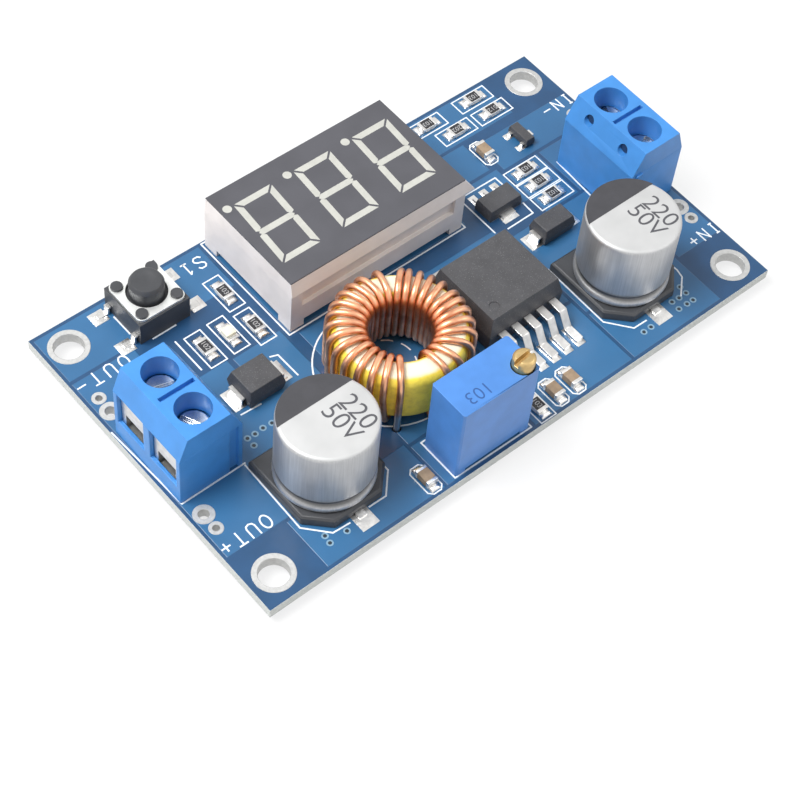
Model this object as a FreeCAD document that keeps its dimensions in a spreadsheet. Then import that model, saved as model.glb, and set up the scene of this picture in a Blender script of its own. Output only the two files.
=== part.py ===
import FreeCAD, Part
import math
import os
import re

import Sketcher

# Buck converter module: a circuit board with screw terminals at both ends, a toroidal inductor,
# two electrolytic capacitors, a switching regulator, a multi-turn trimmer, a push button and a
# three-digit voltmeter. Millimetres. The origin is the centre of the four mounting holes on the
# board's underside. +X runs from the output end to the input end, +Y to the display's edge, +Z up.

doc = FreeCAD.newDocument("buck_converter_module")
sheet = doc.addObject("Spreadsheet::Sheet", "Sizes")
pieces = []

DIMENSIONS = {
    # Board, its four fixing holes and the plated wire holes beside the terminals
    "board_length": 66.0,
    "board_width": 38.4,
    "board_thickness": 1.2,
    "mount_inset_x": 2.75,
    "mount_inset_y": 2.95,
    "mount_hole_diameter": 3.1,
    "mount_ring_diameter": 4.25,
    "plating_wall": 0.05,
    "plating_height": 0.05,
    "wire_hole_inset": 1.5,
    "wire_hole_offset": 7.4,
    "wire_hole_diameter": 1.1,
    "wire_pad_diameter": 2.2,
    "spare_hole_offset": 9.3,
    "spare_hole_diameter": 0.7,
    "spare_pad_diameter": 1.5,
    "pin_reach": 1.0,
    "pin_hole_clearance": 0.1,
    "solder_base_radius": 0.85,
    "solder_tip_radius": 0.5,
    "solder_height": 0.7,
    # Two-way screw terminals
    "terminal_inset": 0.5,
    "terminal_offset": 0.15,
    "terminal_pitch": 5.08,
    "terminal_length": 10.3,
    "terminal_depth": 7.3,
    "terminal_height": 9.6,
    "terminal_shoulder": 6.8,
    "terminal_front_slope": 1.0,
    "terminal_back_slope": 1.4,
    "terminal_screw_setback": 3.6,
    "chamber_width": 4.1,
    "chamber_back": 1.9,
    "chamber_floor": 0.9,
    "entry_sill": 2.3,
    "screw_bore_diameter": 3.6,
    "divider_slot_length": 4.0,
    "divider_slot_width": 0.45,
    "divider_slot_depth": 0.6,
    "probe_hole_diameter": 1.2,
    "probe_hole_depth": 0.85,
    "probe_hole_height": 8.3,
    "rail_width": 0.9,
    "rail_proud": 0.25,
    "rail_setback": 1.0,
    "rail_clearance": 0.05,
    "cage_setback": 0.45,
    "cage_depth": 4.4,
    "cage_width": 3.9,
    "cage_lid_gap": 0.95,
    "cage_head_wall": 2.0,
    "cage_wall": 0.6,
    "cage_floor_gap": 0.1,
    "screw_head_diameter": 3.4,
    "screw_head_height": 1.1,
    "screw_head_gap": 0.1,
    "screw_shank_diameter": 2.5,
    "screw_slot_width": 0.6,
    "screw_slot_depth": 0.55,
    "screw_thread_clearance": 0.05,
    "plate_thickness": 0.25,
    "plate_gap": 0.05,
    "plate_side_gap": 0.15,
    "contact_pin_width": 1.0,
    "contact_pin_thickness": 0.7,
    # Three-digit display
    "display_length": 22.7,
    "display_width": 14.1,
    "display_height": 7.3,
    "display_edge_gap": 0.5,
    "display_offset": -0.5,
    "display_rim_height": 1.7,
    "display_face_inset": 0.3,
    "display_end_flange": 1.2,
    "display_side_recess": 0.45,
    "display_recess_height": 2.2,
    "display_recess_end": 1.4,
    "display_foot_height": 0.9,
    "display_foot_length": 1.7,
    "display_foot_width": 2.0,
    "display_wall": 1.0,
    "display_cavity": 1.1,
    "face_thickness": 0.15,
    "digit_pitch": 7.55,
    "digit_height": 8.85,
    "digit_width": 4.75,
    "digit_slant": 0.07,
    "digit_rise": 0.15,
    "segment_width": 0.72,
    "segment_gap": 0.16,
    "point_radius": 0.48,
    "point_setback": 2.85,
    "point_rise": 4.35,
    "display_pin_pitch": 2.54,
    "display_pin_inset": 1.97,
    "display_pin_size": 0.5,
    "chip_body_length": 6.5,
    "chip_body_width": 4.4,
    "chip_body_height": 1.0,
    "chip_lead_pitch": 0.65,
    "chip_lead_width": 0.25,
    "chip_lead_length": 0.9,
    "chip_lead_thickness": 0.2,
    # Toroidal inductor
    "inductor_x": -6.33,
    "inductor_y": -5.33,
    "core_bore_radius": 3.85,
    "core_outer_radius": 6.75,
    "core_height": 6.4,
    "core_edge_radius": 1.1,
    "wire_diameter": 0.7,
    "wire_gap": 0.05,
    "winding_lean": 5.0,
    "winding_seat": 0.03,
    "first_lead_angle": -130.0,
    "last_lead_angle": -100.0,
    # Electrolytic capacitors
    "output_capacitor_x": 13.05,
    "output_capacitor_y": 8.4,
    "input_capacitor_x": 13.4,
    "input_capacitor_y": 8.85,
    "capacitor_base_size": 10.3,
    "capacitor_base_height": 1.2,
    "capacitor_base_corner": 2.3,
    "capacitor_base_step": 0.5,
    "capacitor_base_step_height": 0.6,
    "can_radius": 4.95,
    "can_height": 10.0,
    "can_roll_radius": 5.02,
    "can_roll_height": 1.0,
    "can_groove_radius": 4.65,
    "can_groove_height": 0.9,
    "can_edge": 0.35,
    "capacitor_lead_width": 0.9,
    "capacitor_lead_thickness": 0.3,
    "capacitor_lead_reach": 5.9,
    "capacitor_lead_start": 2.0,
    # Switching regulator
    "regulator_x": 7.2,
    "regulator_y": -4.85,
    "regulator_length": 9.9,
    "regulator_width": 9.0,
    "regulator_height": 4.45,
    "regulator_parting": 2.3,
    "regulator_top_length": 8.8,
    "regulator_top_width": 8.1,
    "regulator_foot_draft": 0.3,
    "regulator_seat": 0.1,
    "regulator_dimple_radius": 0.55,
    "regulator_dimple_depth": 0.12,
    "regulator_dimple_inset": 1.3,
    "tab_width": 8.4,
    "tab_thickness": 1.25,
    "tab_reach": 1.3,
    "lead_pitch": 1.7,
    "lead_width": 0.95,
    "lead_thickness": 0.5,
    "lead_shoulder": 1.75,
    "lead_foot_start": 2.8,
    "lead_reach": 4.6,
    # Multi-turn trimmer
    "trimmer_x": -5.3,
    "trimmer_y": 3.0,
    "trimmer_length": 9.5,
    "trimmer_width": 4.8,
    "trimmer_height": 10.0,
    "trimmer_foot_height": 0.4,
    "trimmer_foot_length": 1.2,
    "trimmer_edge": 0.2,
    "trimmer_screw_offset_x": 3.6,
    "trimmer_screw_offset_y": -1.15,
    "trimmer_screw_diameter": 2.3,
    "trimmer_screw_proud": 1.4,
    "trimmer_screw_depth": 1.6,
    "trimmer_screw_clearance": 0.08,
    "trimmer_slot_width": 0.5,
    "trimmer_slot_depth": 0.7,
    "trimmer_pin_pitch": 2.54,
    "trimmer_pin_size": 0.5,
    # Push button
    "button_x": 11.5,
    "button_y": 3.95,
    "button_size": 6.0,
    "button_base_height": 2.9,
    "button_well_radius": 2.35,
    "button_well_floor": 1.2,
    "button_cover_size": 5.7,
    "button_cover_thickness": 0.35,
    "button_cover_corner": 0.7,
    "button_cover_hole_radius": 2.1,
    "button_rivet_radius": 0.62,
    "button_rivet_offset": 2.1,
    "button_rivet_proud": 0.25,
    "button_flange_radius": 2.25,
    "button_flange_height": 0.6,
    "button_stem_radius": 1.8,
    "button_height": 5.0,
    "button_crown_radius": 1.65,
    "button_crown_height": 0.35,
    "button_travel": 0.25,
    "button_dome_radius": 1.95,
    "button_dome_rise": 0.35,
    "button_dome_thickness": 0.1,
    "button_nib_radius": 0.8,
    "button_nib_gap": 0.02,
    "button_lead_offset": 2.25,
    "button_lead_width": 0.7,
    "button_lead_thickness": 0.2,
    "button_lead_height": 1.0,
    "button_lead_elbow": 0.45,
    "button_lead_reach": 1.6,
    # Diodes and small transistors
    "output_diode_x": 14.35,
    "output_diode_y": 1.35,
    "output_diode_length": 4.4,
    "output_diode_width": 3.8,
    "output_diode_height": 2.35,
    "output_diode_lead": 2.1,
    "output_diode_draft": 0.3,
    "input_diode_x": 14.8,
    "input_diode_y": -1.4,
    "input_diode_length": 4.3,
    "input_diode_width": 2.6,
    "input_diode_height": 2.15,
    "input_diode_lead": 1.45,
    "input_diode_draft": 0.25,
    "diode_seat": 0.1,
    "diode_lead_thickness": 0.2,
    "diode_lead_rise": 1.1,
    "diode_lead_run": 0.45,
    "diode_lead_tuck": 0.9,
    "supply_x": 17.1,
    "supply_y": 4.45,
    "supply_length": 4.4,
    "supply_width": 2.5,
    "supply_height": 1.5,
    "supply_draft": 0.12,
    "supply_lead_pitch": 1.5,
    "supply_lead_width": 0.45,
    "supply_lead_reach": 0.9,
    "supply_tab_width": 1.7,
    "supply_tab_reach": 0.6,
    "supply_lead_thickness": 0.4,
    "transistor_x": 8.6,
    "transistor_y": 9.0,
    "transistor_length": 2.95,
    "transistor_width": 1.3,
    "transistor_height": 1.1,
    "transistor_seat": 0.1,
    "transistor_draft": 0.1,
    "transistor_lead_pitch": 1.9,
    "transistor_lead_width": 0.42,
    "transistor_lead_reach": 0.55,
    "transistor_lead_thickness": 0.15,
    # Chip resistors, chip capacitors and the indicator
    "resistor_length": 2.0,
    "resistor_width": 1.25,
    "resistor_height": 0.5,
    "resistor_cap": 0.4,
    "ceramic_length": 2.0,
    "ceramic_width": 1.2,
    "ceramic_height": 0.9,
    "ceramic_cap": 0.4,
    "indicator_length": 2.0,
    "indicator_width": 1.25,
    "indicator_height": 0.4,
    "indicator_cap": 0.35,
    "indicator_lens_length": 1.2,
    "indicator_lens_height": 0.75,
    "cap_proud": 0.03,
    "resistor_1_x": 18.85,
    "resistor_1_y": 6.75,
    "resistor_2_x": 18.8,
    "resistor_2_y": 11.9,
    "resistor_3_x": 13.2,
    "resistor_3_y": 11.2,
    "resistor_4_x": 15.8,
    "resistor_4_y": 1.65,
    "resistor_5_x": 13.7,
    "resistor_5_y": 4.15,
    "resistor_6_x": 9.15,
    "resistor_6_y": 1.6,
    "resistor_7_x": 8.6,
    "resistor_7_y": 4.2,
    "resistor_8_x": 11.4,
    "resistor_8_y": 12.8,
    "resistor_9_x": 11.4,
    "resistor_9_y": 14.92,
    "resistor_10_x": 11.4,
    "resistor_10_y": 17.07,
    "resistor_11_x": 1.75,
    "resistor_11_y": 2.0,
    "ceramic_1_x": 13.35,
    "ceramic_1_y": 8.25,
    "ceramic_2_x": 6.6,
    "ceramic_2_y": 2.25,
    "ceramic_3_x": 4.25,
    "ceramic_3_y": 2.2,
    "ceramic_4_x": 20.5,
    "ceramic_4_y": 2.15,
    "indicator_x": 16.05,
    "indicator_y": 11.15,
}

for row, (name, value) in enumerate(DIMENSIONS.items(), 1):
    sheet.set(f"A{row}", name)
    sheet.set(f"B{row}", str(value))
    sheet.setAlias(f"B{row}", name)
doc.recompute()

BOARD_TOP = "board_thickness"
CAGE_TOP = "(terminal_shoulder - cage_lid_gap)"
DISPLAY_Y = "board_width / 2 - display_edge_gap - display_width / 2"

# The end and the edge of the board that each component's place is measured from
ANCHORS = {
    "inductor": ("middle", "middle"),
    "output_capacitor": ("output", "front"),
    "input_capacitor": ("input", "front"),
    "regulator": ("middle", "middle"),
    "trimmer": ("middle", "front"),
    "button": ("output", "rear"),
    "output_diode": ("output", "middle"),
    "input_diode": ("input", "middle"),
    "supply": ("input", "middle"),
    "transistor": ("input", "rear"),
    "resistor_1": ("output", "rear"),
    "resistor_2": ("output", "rear"),
    "resistor_3": ("output", "rear"),
    "resistor_4": ("input", "rear"),
    "resistor_5": ("input", "rear"),
    "resistor_6": ("input", "rear"),
    "resistor_7": ("input", "rear"),
    "resistor_8": ("input", "rear"),
    "resistor_9": ("input", "rear"),
    "resistor_10": ("input", "rear"),
    "resistor_11": ("middle", "front"),
    "ceramic_1": ("input", "rear"),
    "ceramic_2": ("middle", "front"),
    "ceramic_3": ("middle", "front"),
    "ceramic_4": ("output", "front"),
    "indicator": ("output", "rear"),
}

# Long axis of each chip resistor, in order
RESISTOR_AXES = "yyyxxxxxxxy"
CERAMIC_COUNT = 4


def linked(text):
    """An expression with each size name turned into a reference to its cell."""
    return re.sub(r"\b([a-z]+_\w+)", r"Sizes.\1", str(text))


def number(text):
    """The value of an expression, in millimetres or degrees."""
    return float(sheet.evalExpression(linked(text)))


def bind(item, **expressions):
    """Tie properties to expressions over the sheet's sizes."""
    for name, text in expressions.items():
        item.setExpression(name, linked(text))


def spot(name):
    """A component's place on the board, as expressions for x and y."""
    end, edge = ANCHORS[name]
    x = {"output": f"{name}_x - board_length / 2", "middle": f"{name}_x", "input": f"board_length / 2 - {name}_x"}
    y = {"front": f"{name}_y - board_width / 2", "middle": f"{name}_y", "rear": f"board_width / 2 - {name}_y"}
    return x[end], y[edge]


def place(item, x, y, z, turn=0):
    """Give an item its place, tied to the sheet, after a turn about Z in degrees."""
    item.Placement = FreeCAD.Placement(FreeCAD.Vector(), FreeCAD.Rotation(FreeCAD.Vector(0, 0, 1), turn))
    for axis, text in (("x", x), ("y", y), ("z", z)):
        item.setExpression(f"Placement.Base.{axis}", linked(text))
    return item


def piece(item, name):
    """Name an item as a sub-part that is written to its own file."""
    item.Label = name
    pieces.append(item)
    return item


def block(length, width, height, x="0", y="0", z="0"):
    """Box centred on x and y that stands on z."""
    item = doc.addObject("Part::Box", "Block")
    bind(item, Length=length, Width=width, Height=height)
    return place(item, f"({x}) - ({length}) / 2", f"({y}) - ({width}) / 2", z)


def rod(radius, height, x="0", y="0", z="0"):
    """Upright cylinder that stands on z."""
    item = doc.addObject("Part::Cylinder", "Rod")
    bind(item, Radius=radius, Height=height)
    return place(item, x, y, z)


def lying_rod(radius, length, x, y, z):
    """Cylinder that runs along X from its place."""
    item = rod(radius, length, x, y, z)
    item.Placement = FreeCAD.Placement(item.Placement.Base, FreeCAD.Rotation(FreeCAD.Vector(0, 1, 0), 90))
    return item


def cone(low_radius, high_radius, height, x="0", y="0", z="0"):
    """Upright truncated cone that stands on z."""
    item = doc.addObject("Part::Cone", "Cone")
    bind(item, Radius1=low_radius, Radius2=high_radius, Height=height)
    return place(item, x, y, z)


def join(items):
    """One solid from items that meet."""
    result = doc.addObject("Part::MultiFuse", "Join")
    result.Shapes = list(items)
    return result


def group(items):
    """Separate solids kept together as one sub-part."""
    result = doc.addObject("Part::Compound", "Group")
    result.Links = list(items)
    return result


def cut(base, tools):
    """Base less the tools."""
    result = doc.addObject("Part::Cut", "Cut")
    result.Base = base
    result.Tool = tools[0] if len(tools) == 1 else join(tools)
    return result


def origin_plane(body, role):
    """One of a body's own origin planes."""
    return next(item for item in body.Origin.OriginFeatures if item.Role == role)


def outline(body, role, corners, height="0"):
    """Closed sketch through corners given as pairs of expressions."""
    sketch = body.newObject("Sketcher::SketchObject", "Outline")
    sketch.AttachmentSupport = (origin_plane(body, role), [""])
    sketch.MapMode = "FlatFace"
    sketch.setExpression("AttachmentOffset.Base.z", linked(height))
    points = [FreeCAD.Vector(number(across), number(up), 0) for across, up in corners]
    count = len(points)
    lines = [Part.LineSegment(points[i], points[(i + 1) % count]) for i in range(count)]
    sketch.addGeometry(lines, False)
    for i in range(count):
        sketch.addConstraint(Sketcher.Constraint("Coincident", i, 2, (i + 1) % count, 1))
    for i, corner in enumerate(corners):
        for kind, text in zip(("DistanceX", "DistanceY"), corner):
            index = sketch.addConstraint(Sketcher.Constraint(kind, i, 1, number(text)))
            sketch.setExpression(f"Constraints[{index}]", linked(text))
    return sketch


def extrusion(role, corners, length):
    """Body padded both ways from an origin plane."""
    body = doc.addObject("PartDesign::Body", "Extrusion")
    pad = body.newObject("PartDesign::Pad", "Pad")
    sketch = outline(body, role, corners)
    body.Tip = pad
    pad.Profile = sketch
    pad.Midplane = True
    bind(pad, Length=length)
    return body


def turned(corners):
    """Body of revolution about Z from a half section."""
    body = doc.addObject("PartDesign::Body", "Turned")
    turn = body.newObject("PartDesign::Revolution", "Turn")
    sketch = outline(body, "XZ_Plane", corners)
    body.Tip = turn
    turn.Profile = sketch
    turn.ReferenceAxis = (sketch, ["V_Axis"])
    turn.Angle = 360
    return body


def rectangle(low_x, high_x, low_y, high_y):
    """Corners of a rectangle, as expressions."""
    return [(low_x, low_y), (high_x, low_y), (high_x, high_y), (low_x, high_y)]


def centred(length, width):
    """Corners of a rectangle about the origin, as expressions."""
    return rectangle(f"-({length}) / 2", f"({length}) / 2", f"-({width}) / 2", f"({width}) / 2")


def tapered(sections):
    """Body with straight drafted walls through outlines at given heights."""
    body = doc.addObject("PartDesign::Body", "Tapered")
    loft = body.newObject("PartDesign::AdditiveLoft", "Draft")
    sketches = [outline(body, "XY_Plane", corners, height) for corners, height in sections]
    body.Tip = loft
    loft.Profile = sketches[0]
    loft.Sections = sketches[1:]
    loft.Ruled = True
    return body


def dressed(body, kind, size, keep):
    """Round or chamfer those edges of a body that keep() picks."""
    doc.recompute()
    base = body.Tip
    chosen = [f"Edge{i}" for i, edge in enumerate(base.Shape.Edges, 1) if keep(edge.BoundBox)]
    dress = body.newObject(f"PartDesign::{kind}", kind)
    dress.Base = (base, chosen)
    bind(dress, **{"Size" if kind == "Chamfer" else "Radius": size})
    return body


def upright(box):
    """True for an edge that runs along Z."""
    return box.ZLength > 1e-3 and box.XLength < 1e-3 and box.YLength < 1e-3


# Through pins: each has a drilled hole in the board and a solder joint below it
through_pins = []


def through_pin(x, y, half_diagonal):
    """Note a pin that passes through the board at x and y."""
    through_pins.append((x, y, half_diagonal))


def terminal_x(side):
    """Middle of a terminal: side is -1 at the output end and 1 at the input end."""
    return f"{side} * (board_length / 2 - terminal_inset - terminal_depth / 2)"


def pole_x(side):
    """Screw axis of a terminal."""
    return f"{side} * (board_length / 2 - terminal_inset - terminal_screw_setback)"


def pole_y(pole):
    """Screw axis of a pole: pole is -1 or 1."""
    return f"terminal_offset + {pole} * terminal_pitch / 2"


def make_board():
    """Drilled board, with the plated linings of its open holes."""
    board = block("board_length", "board_width", "board_thickness")
    drills, linings, bores = [], [], []
    holes = []
    for side_x in (-1, 1):
        for side_y in (-1, 1):
            x = f"{side_x} * (board_length / 2 - mount_inset_x)"
            y = f"{side_y} * (board_width / 2 - mount_inset_y)"
            holes.append((x, y, "mount_hole_diameter", "mount_ring_diameter"))
            x = f"{side_x} * (board_length / 2 - wire_hole_inset)"
            y = f"terminal_offset + {side_y} * wire_hole_offset"
            holes.append((x, y, "wire_hole_diameter", "wire_pad_diameter"))
            y = f"terminal_offset + {side_y} * spare_hole_offset"
            holes.append((x, y, "spare_hole_diameter", "spare_pad_diameter"))
    for x, y, hole, ring in holes:
        drills.append(rod(f"{hole} / 2 + plating_wall", BOARD_TOP, x, y))
        linings.append(rod(f"{hole} / 2 + plating_wall", BOARD_TOP, x, y))
        linings.append(rod(f"{ring} / 2", "plating_height", x, y, BOARD_TOP))
        linings.append(rod(f"{ring} / 2", "plating_height", x, y, "-plating_height"))
        bores.append(rod(f"{hole} / 2", f"{BOARD_TOP} + 4 * plating_height", x, y, "-2 * plating_height"))
    for x, y, half in through_pins:
        drills.append(rod(f"{half} + pin_hole_clearance", BOARD_TOP, x, y))
    piece(cut(board, drills), "circuit_board")
    piece(cut(join(linings), bores), "hole_plating")


def make_solder():
    """Fillet of solder round each through pin on the underside."""
    joints = []
    for x, y, half in through_pins:
        joint = cone("solder_tip_radius", "solder_base_radius", "solder_height", x, y, "-solder_height")
        bore = rod(f"{half} + 0.01", "solder_height", x, y, "-solder_height")
        joints.append(cut(joint, [bore]))
    piece(group(joints), "solder_joints")


def make_terminal(end, side):
    """Two-way screw terminal whose wire entries face out over the board's end."""
    turn = 0 if side < 0 else 180
    middle = (terminal_x(side), "terminal_offset", BOARD_TOP)
    front = "-terminal_depth / 2"
    axis = "terminal_screw_setback - terminal_depth / 2"
    body = block("terminal_depth", "terminal_length", "terminal_shoulder")
    cavities = []
    for pole in (-1, 1):
        y = f"{pole} * terminal_pitch / 2"
        reach = "terminal_depth / 2 + chamber_back"
        cavities.append(block(reach, "chamber_width", "terminal_shoulder - entry_sill",
                              f"{front} + ({reach}) / 2", y, "entry_sill"))
        inner = f"{reach} - cage_setback"
        cavities.append(block(inner, "chamber_width", "terminal_shoulder - chamber_floor",
                              f"{front} + cage_setback + ({inner}) / 2", y, "chamber_floor"))
        cavities.append(block("contact_pin_width + 2 * pin_hole_clearance",
                              "contact_pin_thickness + 2 * pin_hole_clearance", "chamber_floor", axis, y))
    rail_x = "terminal_depth / 2 - rail_setback"
    cavities.append(block("rail_width + 2 * rail_clearance", "2 * (rail_proud + rail_clearance)",
                          "terminal_shoulder", rail_x, "-terminal_length / 2"))
    rail = block("rail_width", "2 * rail_proud", "terminal_shoulder", rail_x, "terminal_length / 2")
    base = cut(join([body, rail]), cavities)
    piece(place(base, *middle, turn), f"{end}_terminal_base")

    lid = extrusion("XZ_Plane", [
        (front, "terminal_shoulder"),
        ("terminal_depth / 2", "terminal_shoulder"),
        ("terminal_depth / 2 - terminal_back_slope", "terminal_height"),
        (f"{front} + terminal_front_slope", "terminal_height"),
    ], "terminal_length")
    openings = [block("divider_slot_length", "divider_slot_width", "divider_slot_depth",
                      axis, "0", "terminal_height - divider_slot_depth")]
    for pole in (-1, 1):
        y = f"{pole} * terminal_pitch / 2"
        rise = "terminal_height - terminal_shoulder"
        openings.append(rod("screw_bore_diameter / 2", rise, axis, y, "terminal_shoulder"))
        slot_x = "terminal_depth / 2 - terminal_back_slope / 2"
        openings.append(lying_rod("probe_hole_diameter / 2", "2 * probe_hole_depth",
                                  f"{slot_x} - probe_hole_depth", y, "probe_hole_height"))
    piece(place(cut(lid, openings), *middle, turn), f"{end}_terminal_lid")

    cages = []
    for pole in (-1, 1):
        y = f"{pole} * terminal_pitch / 2"
        cage_x = f"{front} + cage_setback + cage_depth / 2"
        low = "chamber_floor + cage_floor_gap"
        shell = block("cage_depth", "cage_width", f"{CAGE_TOP} - ({low})", cage_x, y, low)
        window = block("cage_depth", "cage_width - 2 * cage_wall",
                       f"{CAGE_TOP} - cage_head_wall - cage_wall - ({low})", cage_x, y, f"{low} + cage_wall")
        thread = rod("screw_shank_diameter / 2 + screw_thread_clearance", "cage_head_wall",
                     axis, y, f"{CAGE_TOP} - cage_head_wall")
        pin = block("contact_pin_width", "contact_pin_thickness",
                    f"{low} + board_thickness + pin_reach", axis, y, "-board_thickness - pin_reach")
        cages.append(join([cut(shell, [window, thread]), pin]))
        through_pin(pole_x(side), pole_y(pole), "contact_pin_width / 2 + 0.1")
    piece(place(group(cages), *middle, turn), f"{end}_terminal_cages")

    for pole, sign in ((-1, "positive"), (1, "negative")):
        make_terminal_screw(f"{end}_{sign}", side, pole)


def make_terminal_screw(name, side, pole):
    """Slotted clamp screw and the plate that it presses on the wire."""
    head = f"{CAGE_TOP} + screw_head_gap"
    tip = "chamber_floor + cage_floor_gap + cage_wall + plate_gap + plate_thickness"
    shank_radius = "screw_shank_diameter / 2"
    screw = turned([
        ("0", tip),
        (f"{shank_radius} - 0.25", tip),
        (shank_radius, f"{tip} + 0.25"),
        (shank_radius, head),
        ("screw_head_diameter / 2", head),
        ("screw_head_diameter / 2", f"{head} + screw_head_height - 0.2"),
        ("screw_head_diameter / 2 - 0.2", f"{head} + screw_head_height"),
        ("0", f"{head} + screw_head_height"),
    ])
    slot = block("screw_head_diameter", "screw_slot_width", "screw_slot_depth",
                 "0", "0", f"{head} + screw_head_height - screw_slot_depth")
    item = cut(screw, [slot])
    piece(place(item, pole_x(side), pole_y(pole), BOARD_TOP, 25 * pole + 40 * side), f"{name}_screw")
    plate = block("cage_depth - 2 * plate_side_gap",
                  "cage_width - 2 * cage_wall - 2 * plate_side_gap", "plate_thickness",
                  f"{side} * (terminal_screw_setback - cage_setback - cage_depth / 2)")
    seat = f"{BOARD_TOP} + {tip} - plate_thickness"
    piece(place(group([plate]), pole_x(side), pole_y(pole), seat), f"{name}_clamp_plate")


def segment_corners():
    """Outlines of a digit's seven segments, each as points in the face plane."""
    width, height = number("digit_width"), number("digit_height")
    thick, gap, slant = number("segment_width"), number("segment_gap"), number("digit_slant")
    bars = []
    for level in (-1, 0, 1):
        inner = (height - thick) / 2 * level
        low, high = inner - thick / 2, inner + thick / 2
        left, right = -width / 2 + gap, width / 2 - gap
        nip = thick / 2 if level == 0 else thick
        if level == 0:
            bars.append([(left + nip, low), (right - nip, low), (right, inner), (right - nip, high),
                         (left + nip, high), (left, inner)])
        else:
            far, near = (high, low) if level > 0 else (low, high)
            bars.append([(left, far), (right, far), (right - nip, near), (left + nip, near)])
    for across in (-1, 1):
        for up in (-1, 1):
            far, near = width / 2, width / 2 - thick
            top, bottom = height / 2 - gap, gap + 0.02
            bars.append([(across * far, up * (top - 0.02)), (across * far, up * (bottom + thick / 4)),
                         (across * (far - thick / 2), up * bottom), (across * near, up * (bottom + thick / 2)),
                         (across * near, up * (top - thick))])
    return [[(x + slant * y, y) for x, y in bar] for bar in bars]


def make_display():
    """Three-digit seven-segment display on its twelve pins."""
    half = "display_length / 2"
    side = "display_width / 2"
    neck = "display_height - display_rim_height - face_thickness"
    top = "display_height - face_thickness"
    body = block("display_length", "display_width", neck)
    rim = tapered([
        (rectangle(f"-{half}", f"{half} + display_end_flange", f"-{side} - 0.1", side), neck),
        (rectangle(f"-{half} + 0.1", half, f"-{side} + display_face_inset", f"{side} - 0.1"), top),
    ])
    recess = block("display_length - 2 * display_recess_end", "2 * display_side_recess",
                   "display_recess_height", "0", f"-{side}", f"{neck} - display_recess_height")
    back_recess = block("display_length - 2 * display_recess_end", "2 * display_side_recess",
                        "display_recess_height", "0", side, f"{neck} - display_recess_height")
    hollows = [
        recess,
        back_recess,
        block("display_length - 2 * display_foot_length", "display_width + 1", "display_foot_height"),
        block("display_length + 1", "display_width - 2 * display_foot_width", "display_foot_height"),
        block("display_length - 2 * display_wall", "display_width - 2 * display_wall",
              "display_foot_height + display_cavity"),
    ]
    shell = cut(join([body, rim]), hollows)
    place(shell, "display_offset", DISPLAY_Y, BOARD_TOP)
    piece(shell, "display_shell")

    thick = number("face_thickness")
    lift = FreeCAD.Vector(0, 0, thick)
    windows = []
    for digit in (-1, 0, 1):
        x = digit * number("digit_pitch")
        y = number("digit_rise")
        for bar in segment_corners():
            points = [FreeCAD.Vector(x + px, y + py, 0) for px, py in bar]
            windows.append(Part.Face(Part.makePolygon(points + points[:1])).extrude(lift))
        spot = FreeCAD.Vector(x - number("point_setback"), y + number("point_rise"), 0)
        windows.append(Part.makeCylinder(number("point_radius"), thick, spot))
    film = Part.makeBox(number("display_length") - 0.1, number("display_width - display_face_inset - 0.1"),
                        thick, FreeCAD.Vector(number(f"-{half} + 0.1"), number(f"-{side} + display_face_inset")))
    face = doc.addObject("Part::Feature", "Face")
    face.Shape = film.cut(windows)
    piece(place(face, "display_offset", DISPLAY_Y, f"{BOARD_TOP} + {top}"), "display_face")
    segments = doc.addObject("Part::Feature", "Segments")
    segments.Shape = Part.makeCompound(windows)
    piece(place(segments, "display_offset", DISPLAY_Y, f"{BOARD_TOP} + {top}"), "display_segments")

    pins = []
    for column in range(6):
        for row in (-1, 1):
            x = f"display_offset + {column - 2.5} * display_pin_pitch"
            y = f"{DISPLAY_Y} + {row} * (display_width / 2 - display_pin_inset)"
            tall = "pin_reach + board_thickness + display_foot_height + display_cavity"
            pins.append(block("display_pin_size", "display_pin_size", tall, x, y, "-pin_reach"))
            through_pin(x, y, "display_pin_size * 0.71")
    piece(group(pins), "display_pins")


def make_meter_chip():
    """Meter's controller chip, which lies in the gap below the display."""
    parts = [block("chip_body_length", "chip_body_width", "chip_body_height - 0.1", "0", "0", "0.1")]
    for i in range(10):
        for side in (-1, 1):
            x = f"{i - 4.5} * chip_lead_pitch"
            y = f"{side} * (chip_body_width / 2 + chip_lead_length / 2)"
            parts.append(block("chip_lead_width", "chip_lead_length", "chip_lead_thickness", x, y))
            y = f"{side} * (chip_body_width / 2 + 0.1)"
            parts.append(block("chip_lead_width", "0.2", "chip_body_height / 2", x, y))
    piece(place(join(parts), "display_offset", DISPLAY_Y, BOARD_TOP), "meter_chip")


def turn_angles():
    """Angle of each turn of the winding: two even runs with a gap between them, and a stray turn."""
    first = number("first_lead_angle")
    left_run = [first - 13.0 * i for i in range(13)]
    right_run = [first - 178.0 - 12.85 * i for i in range(11)]
    return left_run + right_run + [first - 320.0]


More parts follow.
